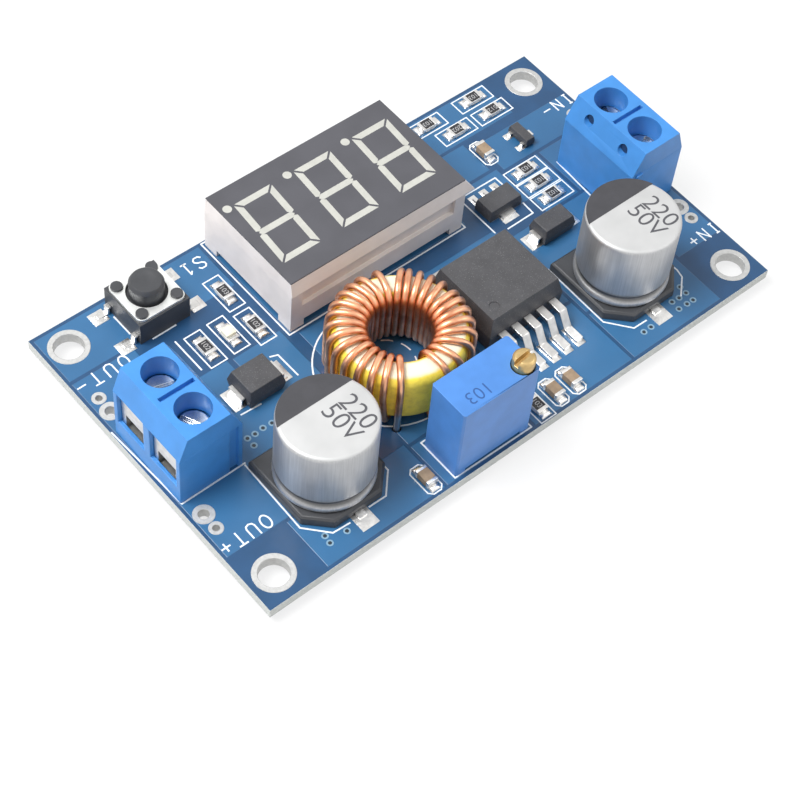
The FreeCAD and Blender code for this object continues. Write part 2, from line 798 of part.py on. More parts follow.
def winding_route():
    """Middle line of the wire: each turn goes up outside the core, over it, down its bore and out below."""
    gap = number("wire_diameter / 2 + wire_gap")
    outer = number("core_outer_radius") + gap
    inner = number("core_bore_radius") - gap
    low = number("winding_seat + wire_diameter / 2")
    high = low + 2 * gap + number("core_height")
    nip = (number("core_edge_radius") + gap) * (2 - math.sqrt(2))
    tail = -number("board_thickness + pin_reach - 0.1")
    lean = number("winding_lean")

    def spot(radius, angle, z):
        return FreeCAD.Vector(radius * math.cos(math.radians(angle)), radius * math.sin(math.radians(angle)), z)

    angles = turn_angles()
    route = [spot(outer, angles[0], tail)]
    for i, angle in enumerate(angles):
        leaving = angles[i + 1] if i + 1 < len(angles) else number("last_lead_angle") - 360.0
        route.append(spot(outer, angle, high - nip))
        route.append(spot(outer - nip, angle, high))
        route.append(spot(inner + nip, angle - lean, high))
        route.append(spot(inner, angle - lean, high - nip))
        route.append(spot(inner, angle - lean, low + nip))
        route.append(spot(inner + nip, angle - lean, low))
        if i + 1 < len(angles):
            route.append(spot(outer - nip, leaving, low))
            route.append(spot(outer, leaving, low + nip))
    route.append(spot(outer, number("last_lead_angle"), low))
    route.append(spot(outer, number("last_lead_angle"), tail))
    return route


def mitred_wire(route, radius, sides):
    """Solid wire of many-sided section along straight runs, mitred where they meet."""
    runs = [(b - a).normalize() for a, b in zip(route, route[1:])]
    across = runs[0].cross(FreeCAD.Vector(0.3, 0.5, 0.8)).normalize()
    other = runs[0].cross(across)
    reach = radius / math.cos(math.pi / sides)
    ring = []
    for i in range(sides):
        angle = 2 * math.pi * (i + 0.5) / sides
        ring.append(route[0] + across * (reach * math.cos(angle)) + other * (reach * math.sin(angle)))
    rings = [ring]
    for i, corner in enumerate(route[1:], 1):
        run = runs[i - 1]
        facing = run if i == len(route) - 1 else (run + runs[i]).normalize()
        ring = [point + run * ((corner - point).dot(facing) / run.dot(facing)) for point in ring]
        rings.append(ring)
    faces = [Part.Face(Part.makePolygon(rings[0] + rings[0][:1])), Part.Face(Part.makePolygon(rings[-1] + rings[-1][:1]))]
    for near, far in zip(rings, rings[1:]):
        for i in range(sides):
            j = (i + 1) % sides
            faces.append(Part.Face(Part.makePolygon([near[i], near[j], far[j], far[i], near[i]])))
    solid = Part.Solid(Part.Shell(faces))
    if solid.Volume < 0:
        solid.reverse()
    return solid


def make_inductor():
    """Powder core with rounded edges and its single-layer winding."""
    low = "winding_seat + wire_diameter + wire_gap"
    core = turned([
        ("core_bore_radius", low),
        ("core_outer_radius", low),
        ("core_outer_radius", f"{low} + core_height"),
        ("core_bore_radius", f"{low} + core_height"),
    ])
    dressed(core, "Fillet", "core_edge_radius", lambda box: box.ZLength < 1e-3)
    piece(place(core, *spot("inductor"), BOARD_TOP), "inductor_core")
    winding = doc.addObject("Part::Feature", "Winding")
    winding.Shape = mitred_wire(winding_route(), number("wire_diameter") / 2, 8)
    piece(place(winding, *spot("inductor"), BOARD_TOP), "inductor_winding")
    outer = "(core_outer_radius + wire_diameter / 2 + wire_gap)"
    middle_x, middle_y = spot("inductor")
    for angle in ("first_lead_angle", "last_lead_angle"):
        x = f"{middle_x} + {outer} * cos({angle} * 1 deg)"
        y = f"{middle_y} + {outer} * sin({angle} * 1 deg)"
        through_pin(x, y, "wire_diameter * 0.55")


def make_capacitor(end):
    """Surface-mount electrolytic capacitor: aluminium can on a moulded base."""
    x, y = spot(f"{end}_capacitor")
    half = "capacitor_base_size / 2"
    corner = "capacitor_base_corner"
    plan = [
        (f"-{half} + {corner}", f"-{half}"),
        (f"{half} - {corner}", f"-{half}"),
        (half, f"-{half} + {corner}"),
        (half, half),
        (f"-{half}", half),
        (f"-{half}", f"-{half} + {corner}"),
    ]
    body = doc.addObject("PartDesign::Body", "Base")
    pad = body.newObject("PartDesign::Pad", "Pad")
    pad.Profile = outline(body, "XY_Plane", plan)
    body.Tip = pad
    bind(pad, Length="capacitor_base_height")
    edge = number("capacitor_base_height")
    dressed(body, "Chamfer", "capacitor_base_step / 2",
            lambda box: box.ZMin > edge - 1e-3 and box.ZLength < 1e-3)
    grooves = [block("capacitor_lead_width + 0.1", f"{half} - capacitor_lead_start + 1", "capacitor_lead_thickness",
                     "0", f"{way} * (capacitor_lead_start - 0.05 + ({half} - capacitor_lead_start + 1) / 2)")
               for way in (-1, 1)]
    piece(place(cut(body, grooves), x, y, BOARD_TOP), f"{end}_capacitor_base")
    seat = "capacitor_base_height"
    roll = f"{seat} + can_roll_height"
    neck = f"{roll} + can_groove_height"
    can = turned([
        ("0", seat),
        ("can_roll_radius - 0.3", seat),
        ("can_roll_radius", f"{seat} + 0.3"),
        ("can_roll_radius", f"{roll} - 0.3"),
        ("can_groove_radius", roll),
        ("can_groove_radius", f"{neck} - 0.5"),
        ("can_radius", neck),
        ("can_radius", "can_height - can_edge"),
        ("can_radius - can_edge * 0.3", "can_height - can_edge * 0.3"),
        ("can_radius - can_edge", "can_height"),
        ("0", "can_height"),
    ])
    piece(place(can, x, y, BOARD_TOP), f"{end}_capacitor_can")
    return [block("capacitor_lead_width", "capacitor_lead_reach - capacitor_lead_start", "capacitor_lead_thickness",
                  x, f"{y} + {way} * (capacitor_lead_start + capacitor_lead_reach) / 2", BOARD_TOP)
            for way in (-1, 1)]


def make_regulator():
    """Power package with a soldered tab on one side and five formed leads on the other."""
    foot = "regulator_foot_draft"
    body = tapered([
        (centred(f"regulator_length - {foot}", f"regulator_width - {foot}"), "regulator_seat"),
        (centred("regulator_length", "regulator_width"), "regulator_parting"),
        (centred("regulator_top_length", "regulator_top_width"), "regulator_height"),
    ])
    dimple = rod("regulator_dimple_radius", "regulator_dimple_depth",
                 "-regulator_top_length / 2 + regulator_dimple_inset",
                 "-regulator_top_width / 2 + regulator_dimple_inset", "regulator_height - regulator_dimple_depth")
    slug = block("tab_width", "regulator_width / 2 + tab_reach + 2", "tab_thickness",
                 "0", "(regulator_width / 2 + tab_reach - 2) / 2")
    piece(place(cut(body, [dimple, slug]), *spot("regulator"), BOARD_TOP), "regulator_body")
    wall = "-regulator_width / 2"
    level = "regulator_parting"
    thick = "lead_thickness"
    leads = []
    for i in range(5):
        lead = extrusion("YZ_Plane", [
            (wall, level),
            (f"{wall} - lead_shoulder", level),
            (f"{wall} - lead_foot_start", thick),
            (f"{wall} - lead_reach", thick),
            (f"{wall} - lead_reach", "0"),
            (f"{wall} - lead_foot_start - {thick} * 0.5", "0"),
            (f"{wall} - lead_shoulder - {thick} * 0.3", f"{level} - {thick}"),
            (wall, f"{level} - {thick}"),
        ], "lead_width")
        leads.append(place(lead, f"{i - 2} * lead_pitch", "0", "0"))
    tab = block("tab_width", "regulator_width / 2 + tab_reach + 2", "tab_thickness",
                "0", "(regulator_width / 2 + tab_reach - 2) / 2")
    piece(place(group([tab] + leads), *spot("regulator"), BOARD_TOP), "regulator_leads")


def make_trimmer():
    """Upright multi-turn trimmer: housing, brass adjusting screw and three pins."""
    middle_x, middle_y = spot("trimmer")
    x = "trimmer_screw_offset_x"
    y = "trimmer_screw_offset_y"
    body = doc.addObject("PartDesign::Body", "Housing")
    pad = body.newObject("PartDesign::Pad", "Pad")
    pad.Profile = outline(body, "XY_Plane", centred("trimmer_length", "trimmer_width"))
    body.Tip = pad
    bind(pad, Length="trimmer_height")
    dressed(body, "Chamfer", "trimmer_edge", upright)
    feet = block("trimmer_length - 2 * trimmer_foot_length", "trimmer_width + 1", "trimmer_foot_height")
    well = rod("trimmer_screw_diameter / 2 + trimmer_screw_clearance", "trimmer_screw_depth", x, y,
               "trimmer_height - trimmer_screw_depth")
    housing = cut(body, [feet, well])
    piece(place(housing, middle_x, middle_y, BOARD_TOP), "trimmer_housing")
    radius = "trimmer_screw_diameter / 2"
    top = "trimmer_height + trimmer_screw_proud"
    screw = turned([
        ("0", "trimmer_height - trimmer_screw_depth + 0.05"),
        (radius, "trimmer_height - trimmer_screw_depth + 0.05"),
        (radius, f"{top} - 0.25"),
        (f"{radius} - 0.25", top),
        ("0", top),
    ])
    slot = block("trimmer_screw_diameter + 0.5", "trimmer_slot_width", "trimmer_slot_depth",
                 "0", "0", f"{top} - trimmer_slot_depth")
    item = place(cut(screw, [slot]), f"{middle_x} + {x}", f"{middle_y} + {y}", BOARD_TOP, 5)
    piece(item, "trimmer_screw")
    pins = []
    for i in (-1, 0, 1):
        pin_x = f"{middle_x} + {i} * trimmer_pin_pitch"
        tall = "pin_reach + board_thickness + trimmer_foot_height"
        pins.append(block("trimmer_pin_size", "trimmer_pin_size", tall, pin_x, middle_y, "-pin_reach"))
        through_pin(pin_x, middle_y, "trimmer_pin_size * 0.71")
    piece(group(pins), "trimmer_pins")


def formed_lead(wall, rise, elbow, reach, thick, width):
    """Flat strip that leaves a wall, turns down and ends in a foot, along +X."""
    return extrusion("XZ_Plane", [
        (wall, rise),
        (f"{wall} + {elbow}", rise),
        (f"{wall} + {elbow}", thick),
        (f"{wall} + {reach}", thick),
        (f"{wall} + {reach}", "0"),
        (f"{wall} + {elbow} - {thick}", "0"),
        (f"{wall} + {elbow} - {thick}", f"{rise} - {thick}"),
        (wall, f"{rise} - {thick}"),
    ], width)


def make_button():
    """Four-lead push button: base, riveted cover, plunger, snap dome and leads."""
    middle = (*spot("button"), BOARD_TOP)
    base = block("button_size", "button_size", "button_base_height")
    well = rod("button_well_radius", "button_base_height - button_well_floor", z="button_well_floor")
    rivets = [rod("button_rivet_radius", "button_cover_thickness + button_rivet_proud + 0.1",
                  f"{i} * button_rivet_offset", f"{j} * button_rivet_offset", "button_base_height - 0.1")
              for i in (-1, 1) for j in (-1, 1)]
    piece(place(cut(join([base] + rivets), [well]), *middle), "button_base")

    cover = doc.addObject("PartDesign::Body", "Cover")
    pad = cover.newObject("PartDesign::Pad", "Pad")
    pad.Profile = outline(cover, "XY_Plane", centred("button_cover_size", "button_cover_size"))
    cover.Tip = pad
    bind(pad, Length="button_cover_thickness")
    dressed(cover, "Fillet", "button_cover_corner", upright)
    openings = [rod("button_cover_hole_radius", "button_cover_thickness")]
    openings += [rod("button_rivet_radius", "button_cover_thickness",
                     f"{i} * button_rivet_offset", f"{j} * button_rivet_offset")
                 for i in (-1, 1) for j in (-1, 1)]
    seat = f"{BOARD_TOP} + button_base_height"
    piece(place(cut(cover, openings), *spot("button"), seat), "button_cover")

    flange = "button_base_height - button_flange_height"
    nib = "button_well_floor + button_dome_rise + button_dome_thickness + button_nib_gap"
    plunger = turned([
        ("0", nib),
        ("button_nib_radius", nib),
        ("button_nib_radius", flange),
        ("button_flange_radius", flange),
        ("button_flange_radius", "button_base_height - 0.02"),
        ("button_stem_radius", "button_base_height - 0.02"),
        ("button_stem_radius", "button_height - button_crown_height"),
        ("button_crown_radius", "button_height"),
        ("0", "button_height"),
    ])
    piece(place(plunger, *middle), "button_plunger")

    rim = "button_well_floor"
    crest = f"{rim} + button_dome_rise"
    dome = turned([
        ("0", crest),
        ("button_dome_radius * 0.6", f"{crest} - button_dome_rise * 0.4"),
        ("button_dome_radius", rim),
        ("button_dome_radius", f"{rim} + button_dome_thickness"),
        ("button_dome_radius * 0.6", f"{crest} - button_dome_rise * 0.4 + button_dome_thickness"),
        ("0", f"{crest} + button_dome_thickness"),
    ])
    piece(place(dome, *middle), "button_dome")

    leads = []
    for way in (-1, 1):
        for side in (-1, 1):
            lead = formed_lead("button_size / 2", "button_lead_height", "button_lead_elbow",
                               "button_lead_reach", "button_lead_thickness", "button_lead_width")
            leads.append(place(lead, "0", f"{side} * button_lead_offset", "0", 0 if way > 0 else 180))
    piece(place(group(leads), *middle), "button_leads")


def make_diode(name, lead_width):
    """Moulded diode with a tab folded down at each end."""
    length, width, height = f"{name}_length", f"{name}_width", f"{name}_height"
    draft = f"{name}_draft"
    waist = "diode_lead_rise"
    body = tapered([
        (centred(f"{length} - {draft}", f"{width} - {draft}"), "diode_seat"),
        (centred(length, width), waist),
        (centred(f"{length} - 2 * {draft}", f"{width} - 2 * {draft}"), height),
    ])
    middle = (*spot(name), BOARD_TOP)
    piece(place(body, *middle), f"{name}_body")
    leads = []
    for way in (0, 180):
        lead = formed_lead(f"{length} / 2", waist, "diode_lead_run", "diode_lead_tuck",
                           "diode_lead_thickness", lead_width)
        leads.append(place(lead, "0", "0", "0", way))
    piece(place(group(leads), *middle), f"{name}_leads")


def make_supply():
    """Small three-lead voltage regulator with a tab."""
    body = tapered([
        (centred("supply_length", "supply_width"), "0"),
        (centred("supply_length", "supply_width"), "supply_height / 2"),
        (centred("supply_length - 2 * supply_draft", "supply_width - 2 * supply_draft"), "supply_height"),
    ])
    middle = (*spot("supply"), BOARD_TOP)
    piece(place(body, *middle), "supply_regulator_body")
    leads = [block("supply_tab_width", "supply_tab_reach", "supply_lead_thickness",
                   "0", "-supply_width / 2 - supply_tab_reach / 2")]
    for i in (-1, 0, 1):
        leads.append(block("supply_lead_width", "supply_lead_reach", "supply_lead_thickness",
                           f"{i} * supply_lead_pitch", "supply_width / 2 + supply_lead_reach / 2"))
    piece(place(group(leads), *middle), "supply_regulator_leads")


def make_transistor():
    """Three-lead signal transistor."""
    body = tapered([
        (centred("transistor_width - transistor_draft", "transistor_length - transistor_draft"), "transistor_seat"),
        (centred("transistor_width", "transistor_length"), "transistor_height / 2"),
        (centred("transistor_width - 2 * transistor_draft", "transistor_length - 2 * transistor_draft"),
         "transistor_height"),
    ])
    middle = (*spot("transistor"), BOARD_TOP)
    piece(place(body, *middle), "transistor_body")
    leads = []
    for turn, y in ((180, "-transistor_lead_pitch / 2"), (180, "transistor_lead_pitch / 2"), (0, "0")):
        lead = formed_lead("transistor_width / 2", "transistor_height / 2", "transistor_lead_thickness * 2",
                           "transistor_lead_reach", "transistor_lead_thickness", "transistor_lead_width")
        leads.append(place(lead, "0", y, "0", turn))
    piece(place(group(leads), *middle), "transistor_leads")


def chip(kind, name, along):
    """Two-terminal chip: a body between two plated end caps."""
    length, width, height, cap = (f"{kind}_length", f"{kind}_width", f"{kind}_height", f"{kind}_cap")
    parts = [block(f"{length} - {cap}", width, height, z="cap_proud")]
    for way in (-1, 1):
        parts.append(block(cap, f"{width} + 2 * cap_proud", f"{height} + 2 * cap_proud",
                           f"{way} * ({length} / 2 - {cap} / 2 + cap_proud)"))
    if kind == "indicator":
        parts.append(block("indicator_lens_length", width, "indicator_lens_height"))
    return place(join(parts), *spot(name), BOARD_TOP, 90 if along == "y" else 0)


def make_chips():
    """Chip resistors, chip capacitors and the indicator lamp."""
    for i, along in enumerate(RESISTOR_AXES, 1):
        piece(chip("resistor", f"resistor_{i}", along), f"chip_resistor_{i:02d}")
    ceramics = [chip("ceramic", f"ceramic_{i + 1}", "y") for i in range(CERAMIC_COUNT)]
    piece(group(ceramics), "ceramic_capacitors")
    piece(chip("indicator", "indicator", "y"), "indicator_lamp")


make_terminal("output", -1)
make_terminal("input", 1)
make_display()
make_meter_chip()
make_inductor()
capacitor_leads = make_capacitor("output") + make_capacitor("input")
piece(group(capacitor_leads), "capacitor_leads")
make_regulator()
make_trimmer()
make_button()
make_diode("output_diode", "output_diode_lead")
make_diode("input_diode", "input_diode_lead")
make_supply()
make_transistor()
make_chips()
make_board()
make_solder()

doc.recompute()

for item in doc.Objects:
    if "Invalid" in item.State or "Error" in item.State:
        raise RuntimeError(f"{item.Label} did not build: {item.State}")
for item in pieces:
    if item.Shape.isNull() or not item.Shape.isValid() or not item.Shape.Solids:
        raise RuntimeError(f"{item.Label} has no valid shape")

os.makedirs("parts", exist_ok=True)
for item in pieces:
    item.Shape.exportStep(f"parts/{item.Label}.step")
print(len(pieces), "sub-parts,", sum(len(item.Shape.Solids) for item in pieces), "solids")
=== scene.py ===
import math
import random

import bmesh
import bpy
from mathutils import Matrix, Vector


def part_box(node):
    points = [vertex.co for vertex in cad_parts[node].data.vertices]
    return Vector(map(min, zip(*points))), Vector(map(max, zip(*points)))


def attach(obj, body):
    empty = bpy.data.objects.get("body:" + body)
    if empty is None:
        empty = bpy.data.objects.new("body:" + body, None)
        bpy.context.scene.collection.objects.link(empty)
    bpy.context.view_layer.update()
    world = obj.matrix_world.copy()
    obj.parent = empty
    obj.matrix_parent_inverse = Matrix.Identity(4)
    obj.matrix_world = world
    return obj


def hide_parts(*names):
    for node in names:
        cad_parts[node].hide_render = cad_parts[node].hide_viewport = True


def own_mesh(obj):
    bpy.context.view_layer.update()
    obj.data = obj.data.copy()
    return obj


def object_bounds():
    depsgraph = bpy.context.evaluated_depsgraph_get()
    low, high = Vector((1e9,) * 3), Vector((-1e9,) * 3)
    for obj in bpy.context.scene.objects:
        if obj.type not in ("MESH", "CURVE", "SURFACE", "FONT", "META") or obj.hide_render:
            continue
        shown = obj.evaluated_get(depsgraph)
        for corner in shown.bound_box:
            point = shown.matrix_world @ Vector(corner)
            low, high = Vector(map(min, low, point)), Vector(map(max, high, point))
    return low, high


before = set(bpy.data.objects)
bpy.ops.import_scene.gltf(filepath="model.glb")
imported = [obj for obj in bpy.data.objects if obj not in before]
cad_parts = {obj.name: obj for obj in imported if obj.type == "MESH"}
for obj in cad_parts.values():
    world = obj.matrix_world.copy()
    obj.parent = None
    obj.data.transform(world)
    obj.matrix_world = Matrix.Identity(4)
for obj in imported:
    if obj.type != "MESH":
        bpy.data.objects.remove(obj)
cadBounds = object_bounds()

# Looks of a buck converter module. Metres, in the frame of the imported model: +X runs to the input
# end, +Y to the display's edge and +Z up. Places written in millimetres go through mm.

mm = 0.001
boardLow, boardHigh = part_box("circuit_board")
boardTop = boardHigh.z
ends = ("output", "input")


def part(x, y, z=0.0):
    # a place in millimetres from the board's centre, at a height above the board
    return Vector((x * mm, y * mm, boardTop + z * mm))


def turned(angle):
    # turn about Z, in degrees
    return Matrix.Rotation(math.radians(angle), 4, "Z")


def addObject(name, data):
    made = bpy.data.objects.new(name, data)
    bpy.context.collection.objects.link(made)
    return made


# camera, light and floor
cameraSettings = {
    "place": (-0.092104, -0.090767, 0.166432),
    "turn": (35.3792, -5.2961, -41.1558),
    "lens": 92.9,
    "sensor": 36.0,
    "shift": (-0.083, -0.0038),
}


def makeCamera(settings):
    data = bpy.data.cameras.new("photoCamera")
    data.lens = settings["lens"]
    data.sensor_width = settings["sensor"]
    data.shift_x, data.shift_y = settings["shift"]
    data.clip_start = 0.01
    data.clip_end = 10.0
    camera = addObject("photoCamera", data)
    camera.location = settings["place"]
    camera.rotation_euler = [math.radians(angle) for angle in settings["turn"]]
    bpy.context.scene.camera = camera


lightSettings = {
    "worldLow": 0.30,
    "worldHigh": 0.55,
    "worldFade": (-0.1, 0.9),
    "lamps": {
        "keyLamp": {"place": (-0.16, 0.08, 0.32), "size": 0.20, "power": 1.5},
        "fillLamp": {"place": (0.22, -0.22, 0.28), "size": 0.30, "power": 0.35},
    },
}


def makeLamp(name, place, size, power):
    # round soft lamp that faces the board's centre
    data = bpy.data.lights.new(name, "AREA")
    data.shape = "DISK"
    data.size = size
    data.energy = power
    lamp = addObject(name, data)
    lamp.location = place
    lamp.rotation_euler = (-Vector(place)).to_track_quat("-Z", "Y").to_euler()


# a shader socket that takes part in Python sums
class Signal:
    def __init__(self, owner, socket):
        self.owner = owner
        self.socket = socket

    def maths(self, operation, first, second=0.0):
        return self.owner.node("ShaderNodeMath", {"operation": operation}, {0: first, 1: second})

    def __add__(self, other):
        return self.maths("ADD", self, other)

    __radd__ = __add__

    def __sub__(self, other):
        return self.maths("SUBTRACT", self, other)

    def __rsub__(self, other):
        return self.maths("SUBTRACT", other, self)

    def __mul__(self, other):
        return self.maths("MULTIPLY", self, other)

    __rmul__ = __mul__

    def size(self):
        return self.maths("ABSOLUTE", self)

    def most(self, other):
        return self.maths("MAXIMUM", self, other)

    def least(self, other):
        return self.maths("MINIMUM", self, other)

    def step(self, edge, soft):
        # 0 below the edge and 1 above it, over a soft width
        settings = {"interpolation_type": "SMOOTHSTEP", "clamp": True}
        return self.owner.node("ShaderNodeMapRange", settings, {
            "Value": self, "From Min": edge - soft / 2, "From Max": edge + soft / 2, "To Min": 0.0, "To Max": 1.0})


# a node tree: the node method adds any node, and feed sets or links a socket
class Shading:
    def __init__(self, tree):
        self.tree = tree

    def feed(self, socket, value):
        if isinstance(value, Signal):
            self.tree.links.new(value.socket, socket)
        else:
            socket.default_value = value

    def node(self, kind, settings, inputs, output=0):
        made = self.tree.nodes.new(kind)
        for name, value in settings.items():
            setattr(made, name, value)
        for name, value in inputs.items():
            self.feed(made.inputs[name], value)
        return Signal(self, made.outputs[output])

    def seen(self):
        # 1 for rays from the camera and for those that gloss and glass send on
        camera, gloss, glass = (self.node("ShaderNodeLightPath", {}, {}, f"Is {kind} Ray")
                                for kind in ("Camera", "Glossy", "Transmission"))
        return camera.most(gloss).most(glass)


# one material, whose patterns lie on Object coordinates
class Look(Shading):
    def __init__(self, name, colour, rough=0.5, metal=0.0):
        self.material = bpy.data.materials.new(name)
        self.material.use_nodes = True
        super().__init__(self.material.node_tree)
        self.shader = self.tree.nodes["Principled BSDF"]
        self.colour = colour
        self.set("Base Color", (*colour, 1.0))
        self.set("Roughness", rough)
        self.set("Metallic", metal)
        self.place = self.node("ShaderNodeTexCoord", {}, {}, "Object")

    def set(self, name, value):
        self.feed(self.shader.inputs[name], value)

    def axis(self, name):
        return self.node("ShaderNodeSeparateXYZ", {}, {0: self.place}, name)

    def noise(self, grain, detail=3.0, stretch=(1.0, 1.0, 1.0)):
        # grain is the size of the pattern in millimetres
        where = self.node("ShaderNodeMapping", {}, {"Vector": self.place, "Scale": stretch})
        settings = {"Vector": where, "Scale": 1.0 / (grain * mm), "Detail": detail, "Roughness": 0.55}
        return self.node("ShaderNodeTexNoise", {}, settings, 0)

    def mix(self, amount, first, second):
        first = first if isinstance(first, Signal) else (*first, 1.0)
        second = second if isinstance(second, Signal) else (*second, 1.0)
        return self.node("ShaderNodeMix", {"data_type": "RGBA"}, {0: amount, 6: first, 7: second}, 2)

    def vary(self, amount, grain, colour=None):
        # slow drift of the colour, a little lighter and darker
        base = self.colour if colour is None else colour
        dark = [channel * (1 - amount) for channel in base]
        pale = [min(1.0, channel * (1 + amount)) for channel in base]
        return self.mix(self.noise(grain, 2.0).step(0.5, 0.5), dark, pale)

    def bump(self, height, depth):
        # depth is in millimetres
        return self.node("ShaderNodeBump", {}, {"Height": height, "Distance": depth * mm})


# finish sheet: colour, roughness, metal, drift of the colour and its grain, grain and depth of a fine
# bump in millimetres, and a share of pale flecks
finishes = {
    "terminalPlastic": ((0.052, 0.248, 0.63), 0.42, 0.0, 0.07, 2.5, 0.12, 0.006),
    "trimmerPlastic": ((0.072, 0.230, 0.60), 0.40, 0.0, 0.07, 2.5, 0.10, 0.006),
    "blackPlastic": ((0.045, 0.047, 0.052), 0.45, 0.0, 0.12, 2.0, 0.10, 0.008),
    "epoxyBlack": ((0.060, 0.060, 0.065), 0.52, 0.0, 0.12, 1.6, 0.09, 0.012, 0.18),
    # display case: its own pale plastic, made warmer and brighter as a painted warm reflection and painted light
    # through the translucent shell
    "displayCase": ((0.86, 0.80, 0.77), 0.42, 0.0, 0.05, 3.0, 0.15, 0.006),
    "displayFilm": ((0.078, 0.078, 0.090), 0.40, 0.0, 0.08, 4.0, 0.10, 0.004),
    "segmentResin": ((0.50, 0.50, 0.46), 0.35, 0.0, 0.05, 0.8, 0.10, 0.003),
    "printWhite": ((0.82, 0.86, 0.90), 0.55, 0.0, 0.06, 0.4, 0.08, 0.006),
    "printGrey": ((0.075, 0.075, 0.085), 0.50, 0.0, 0.10, 0.5, 0.10, 0.003),
    "printBlue": ((0.022, 0.085, 0.27), 0.50, 0.0, 0.10, 0.5, 0.10, 0.003),
    "printPale": ((0.42, 0.42, 0.42), 0.45, 0.0, 0.12, 0.3, 0.10, 0.003),
    "printBlack": ((0.045, 0.045, 0.052), 0.50, 0.0, 0.10, 1.5, 0.10, 0.004),
    # painted shade: near-black blue for the dark insides of the probe holes
    "holeShade": ((0.010, 0.045, 0.125), 0.75, 0.0, 0.15, 0.4, 0.15, 0.004),
    # painted shade: near black for the open middles of the small plated holes
    "viaHoleShade": ((0.020, 0.030, 0.040), 0.4, 0.0, 0.10, 0.5, 0.2, 0.004),
    "resistorCeramic": ((0.80, 0.78, 0.74), 0.60, 0.0, 0.06, 0.4, 0.05, 0.004),
    "resistorGlaze": ((0.022, 0.022, 0.026), 0.30, 0.0, 0.15, 0.5, 0.08, 0.004),
    "capacitorCeramic": ((0.32, 0.23, 0.15), 0.50, 0.0, 0.12, 0.5, 0.06, 0.005),
    "lampResin": ((0.80, 0.78, 0.62), 0.25, 0.0, 0.05, 0.5, 0.10, 0.003),
    "ringTin": ((0.54, 0.54, 0.53), 0.45, 0.6, 0.08, 0.4, 0.25, 0.020),
    "viaRing": ((0.22, 0.36, 0.48), 0.35, 0.0, 0.15, 0.4, 0.15, 0.006),
    "tin": ((0.80, 0.79, 0.77), 0.30, 1.0, 0.10, 0.5, 0.35, 0.030),
    "leadMetal": ((0.72, 0.71, 0.69), 0.32, 1.0, 0.10, 0.7, 0.15, 0.010),
    "coverMetal": ((0.84, 0.85, 0.83), 0.42, 0.85, 0.06, 1.2, 0.10, 0.005),
    "screwMetal": ((0.66, 0.69, 0.71), 0.22, 1.0, 0.10, 0.6, 0.12, 0.010),
    "screwBrass": ((0.60, 0.43, 0.20), 0.38, 1.0, 0.12, 0.6, 0.12, 0.008),
}


def makeFinish(name, colour, rough, metal, drift, grain, bumpGrain, bumpDepth, share=0.0):
    look = Look(name, colour, rough, metal)
    tone = look.vary(drift, grain)
    if share:
        flecks = look.noise(0.10, 1.0).step(0.68, 0.10)
        tone = look.mix(flecks * share, tone, (0.5, 0.5, 0.5))
    look.set("Base Color", tone)
    fine = look.noise(bumpGrain, 3.0)
    look.set("Roughness", rough * 0.85 + fine * (rough * 0.3))
    look.set("Normal", look.bump(fine, bumpDepth))
    return look.material


maskSettings = {
    "deep": (0.012, 0.064, 0.160),
    "pale": (0.029, 0.130, 0.282),
    "edge": (0.60, 0.62, 0.60),
    "rough": 0.33, "bumpDepth": 0.03, "coat": 0.12, "coatRough": 0.15,
    # copper under the lacquer: low and high x, low and high y, in millimetres
    "top": [(-32.6, -25.4, 0.6, 12.3), (-32.6, -14.4, -12.3, 0.2), (-25.9, -11.6, -18.8, -12.7),
            (-24.9, -19.0, 0.6, 5.6), (-32.6, -12.6, 12.7, 18.8), (-18.4, -12.6, -1.4, 5.4),
            (-11.2, 1.4, -12.9, 4.0), (1.8, 13.4, -9.4, 2.2), (-11.2, -0.2, -18.8, -13.3), (0.2, 13.4, -18.8, -9.8),
            (13.8, 26.2, -18.8, -12.0), (13.8, 32.6, -11.6, 0.4), (26.6, 32.6, -12.2, -11.0),
            (19.9, 32.6, 7.9, 12.3), (24.6, 32.6, 0.8, 7.5), (13.9, 19.2, 3.2, 8.4), (11.9, 18.6, 8.8, 13.2),
            (11.9, 26.2, 13.6, 18.8), (-11.9, 11.5, 4.6, 18.8), (19.6, 24.2, 0.8, 7.5)],
    "under": [(-32.6, -12.0, -12.3, -0.3), (-32.6, -12.0, 0.1, 12.3), (-26.0, 26.0, 12.7, 18.8),
              (-26.0, 26.0, -18.8, -12.7), (-11.6, 13.2, -12.3, 12.3), (13.6, 32.6, -12.3, 1.2),
              (13.6, 32.6, 1.6, 12.3)],
}


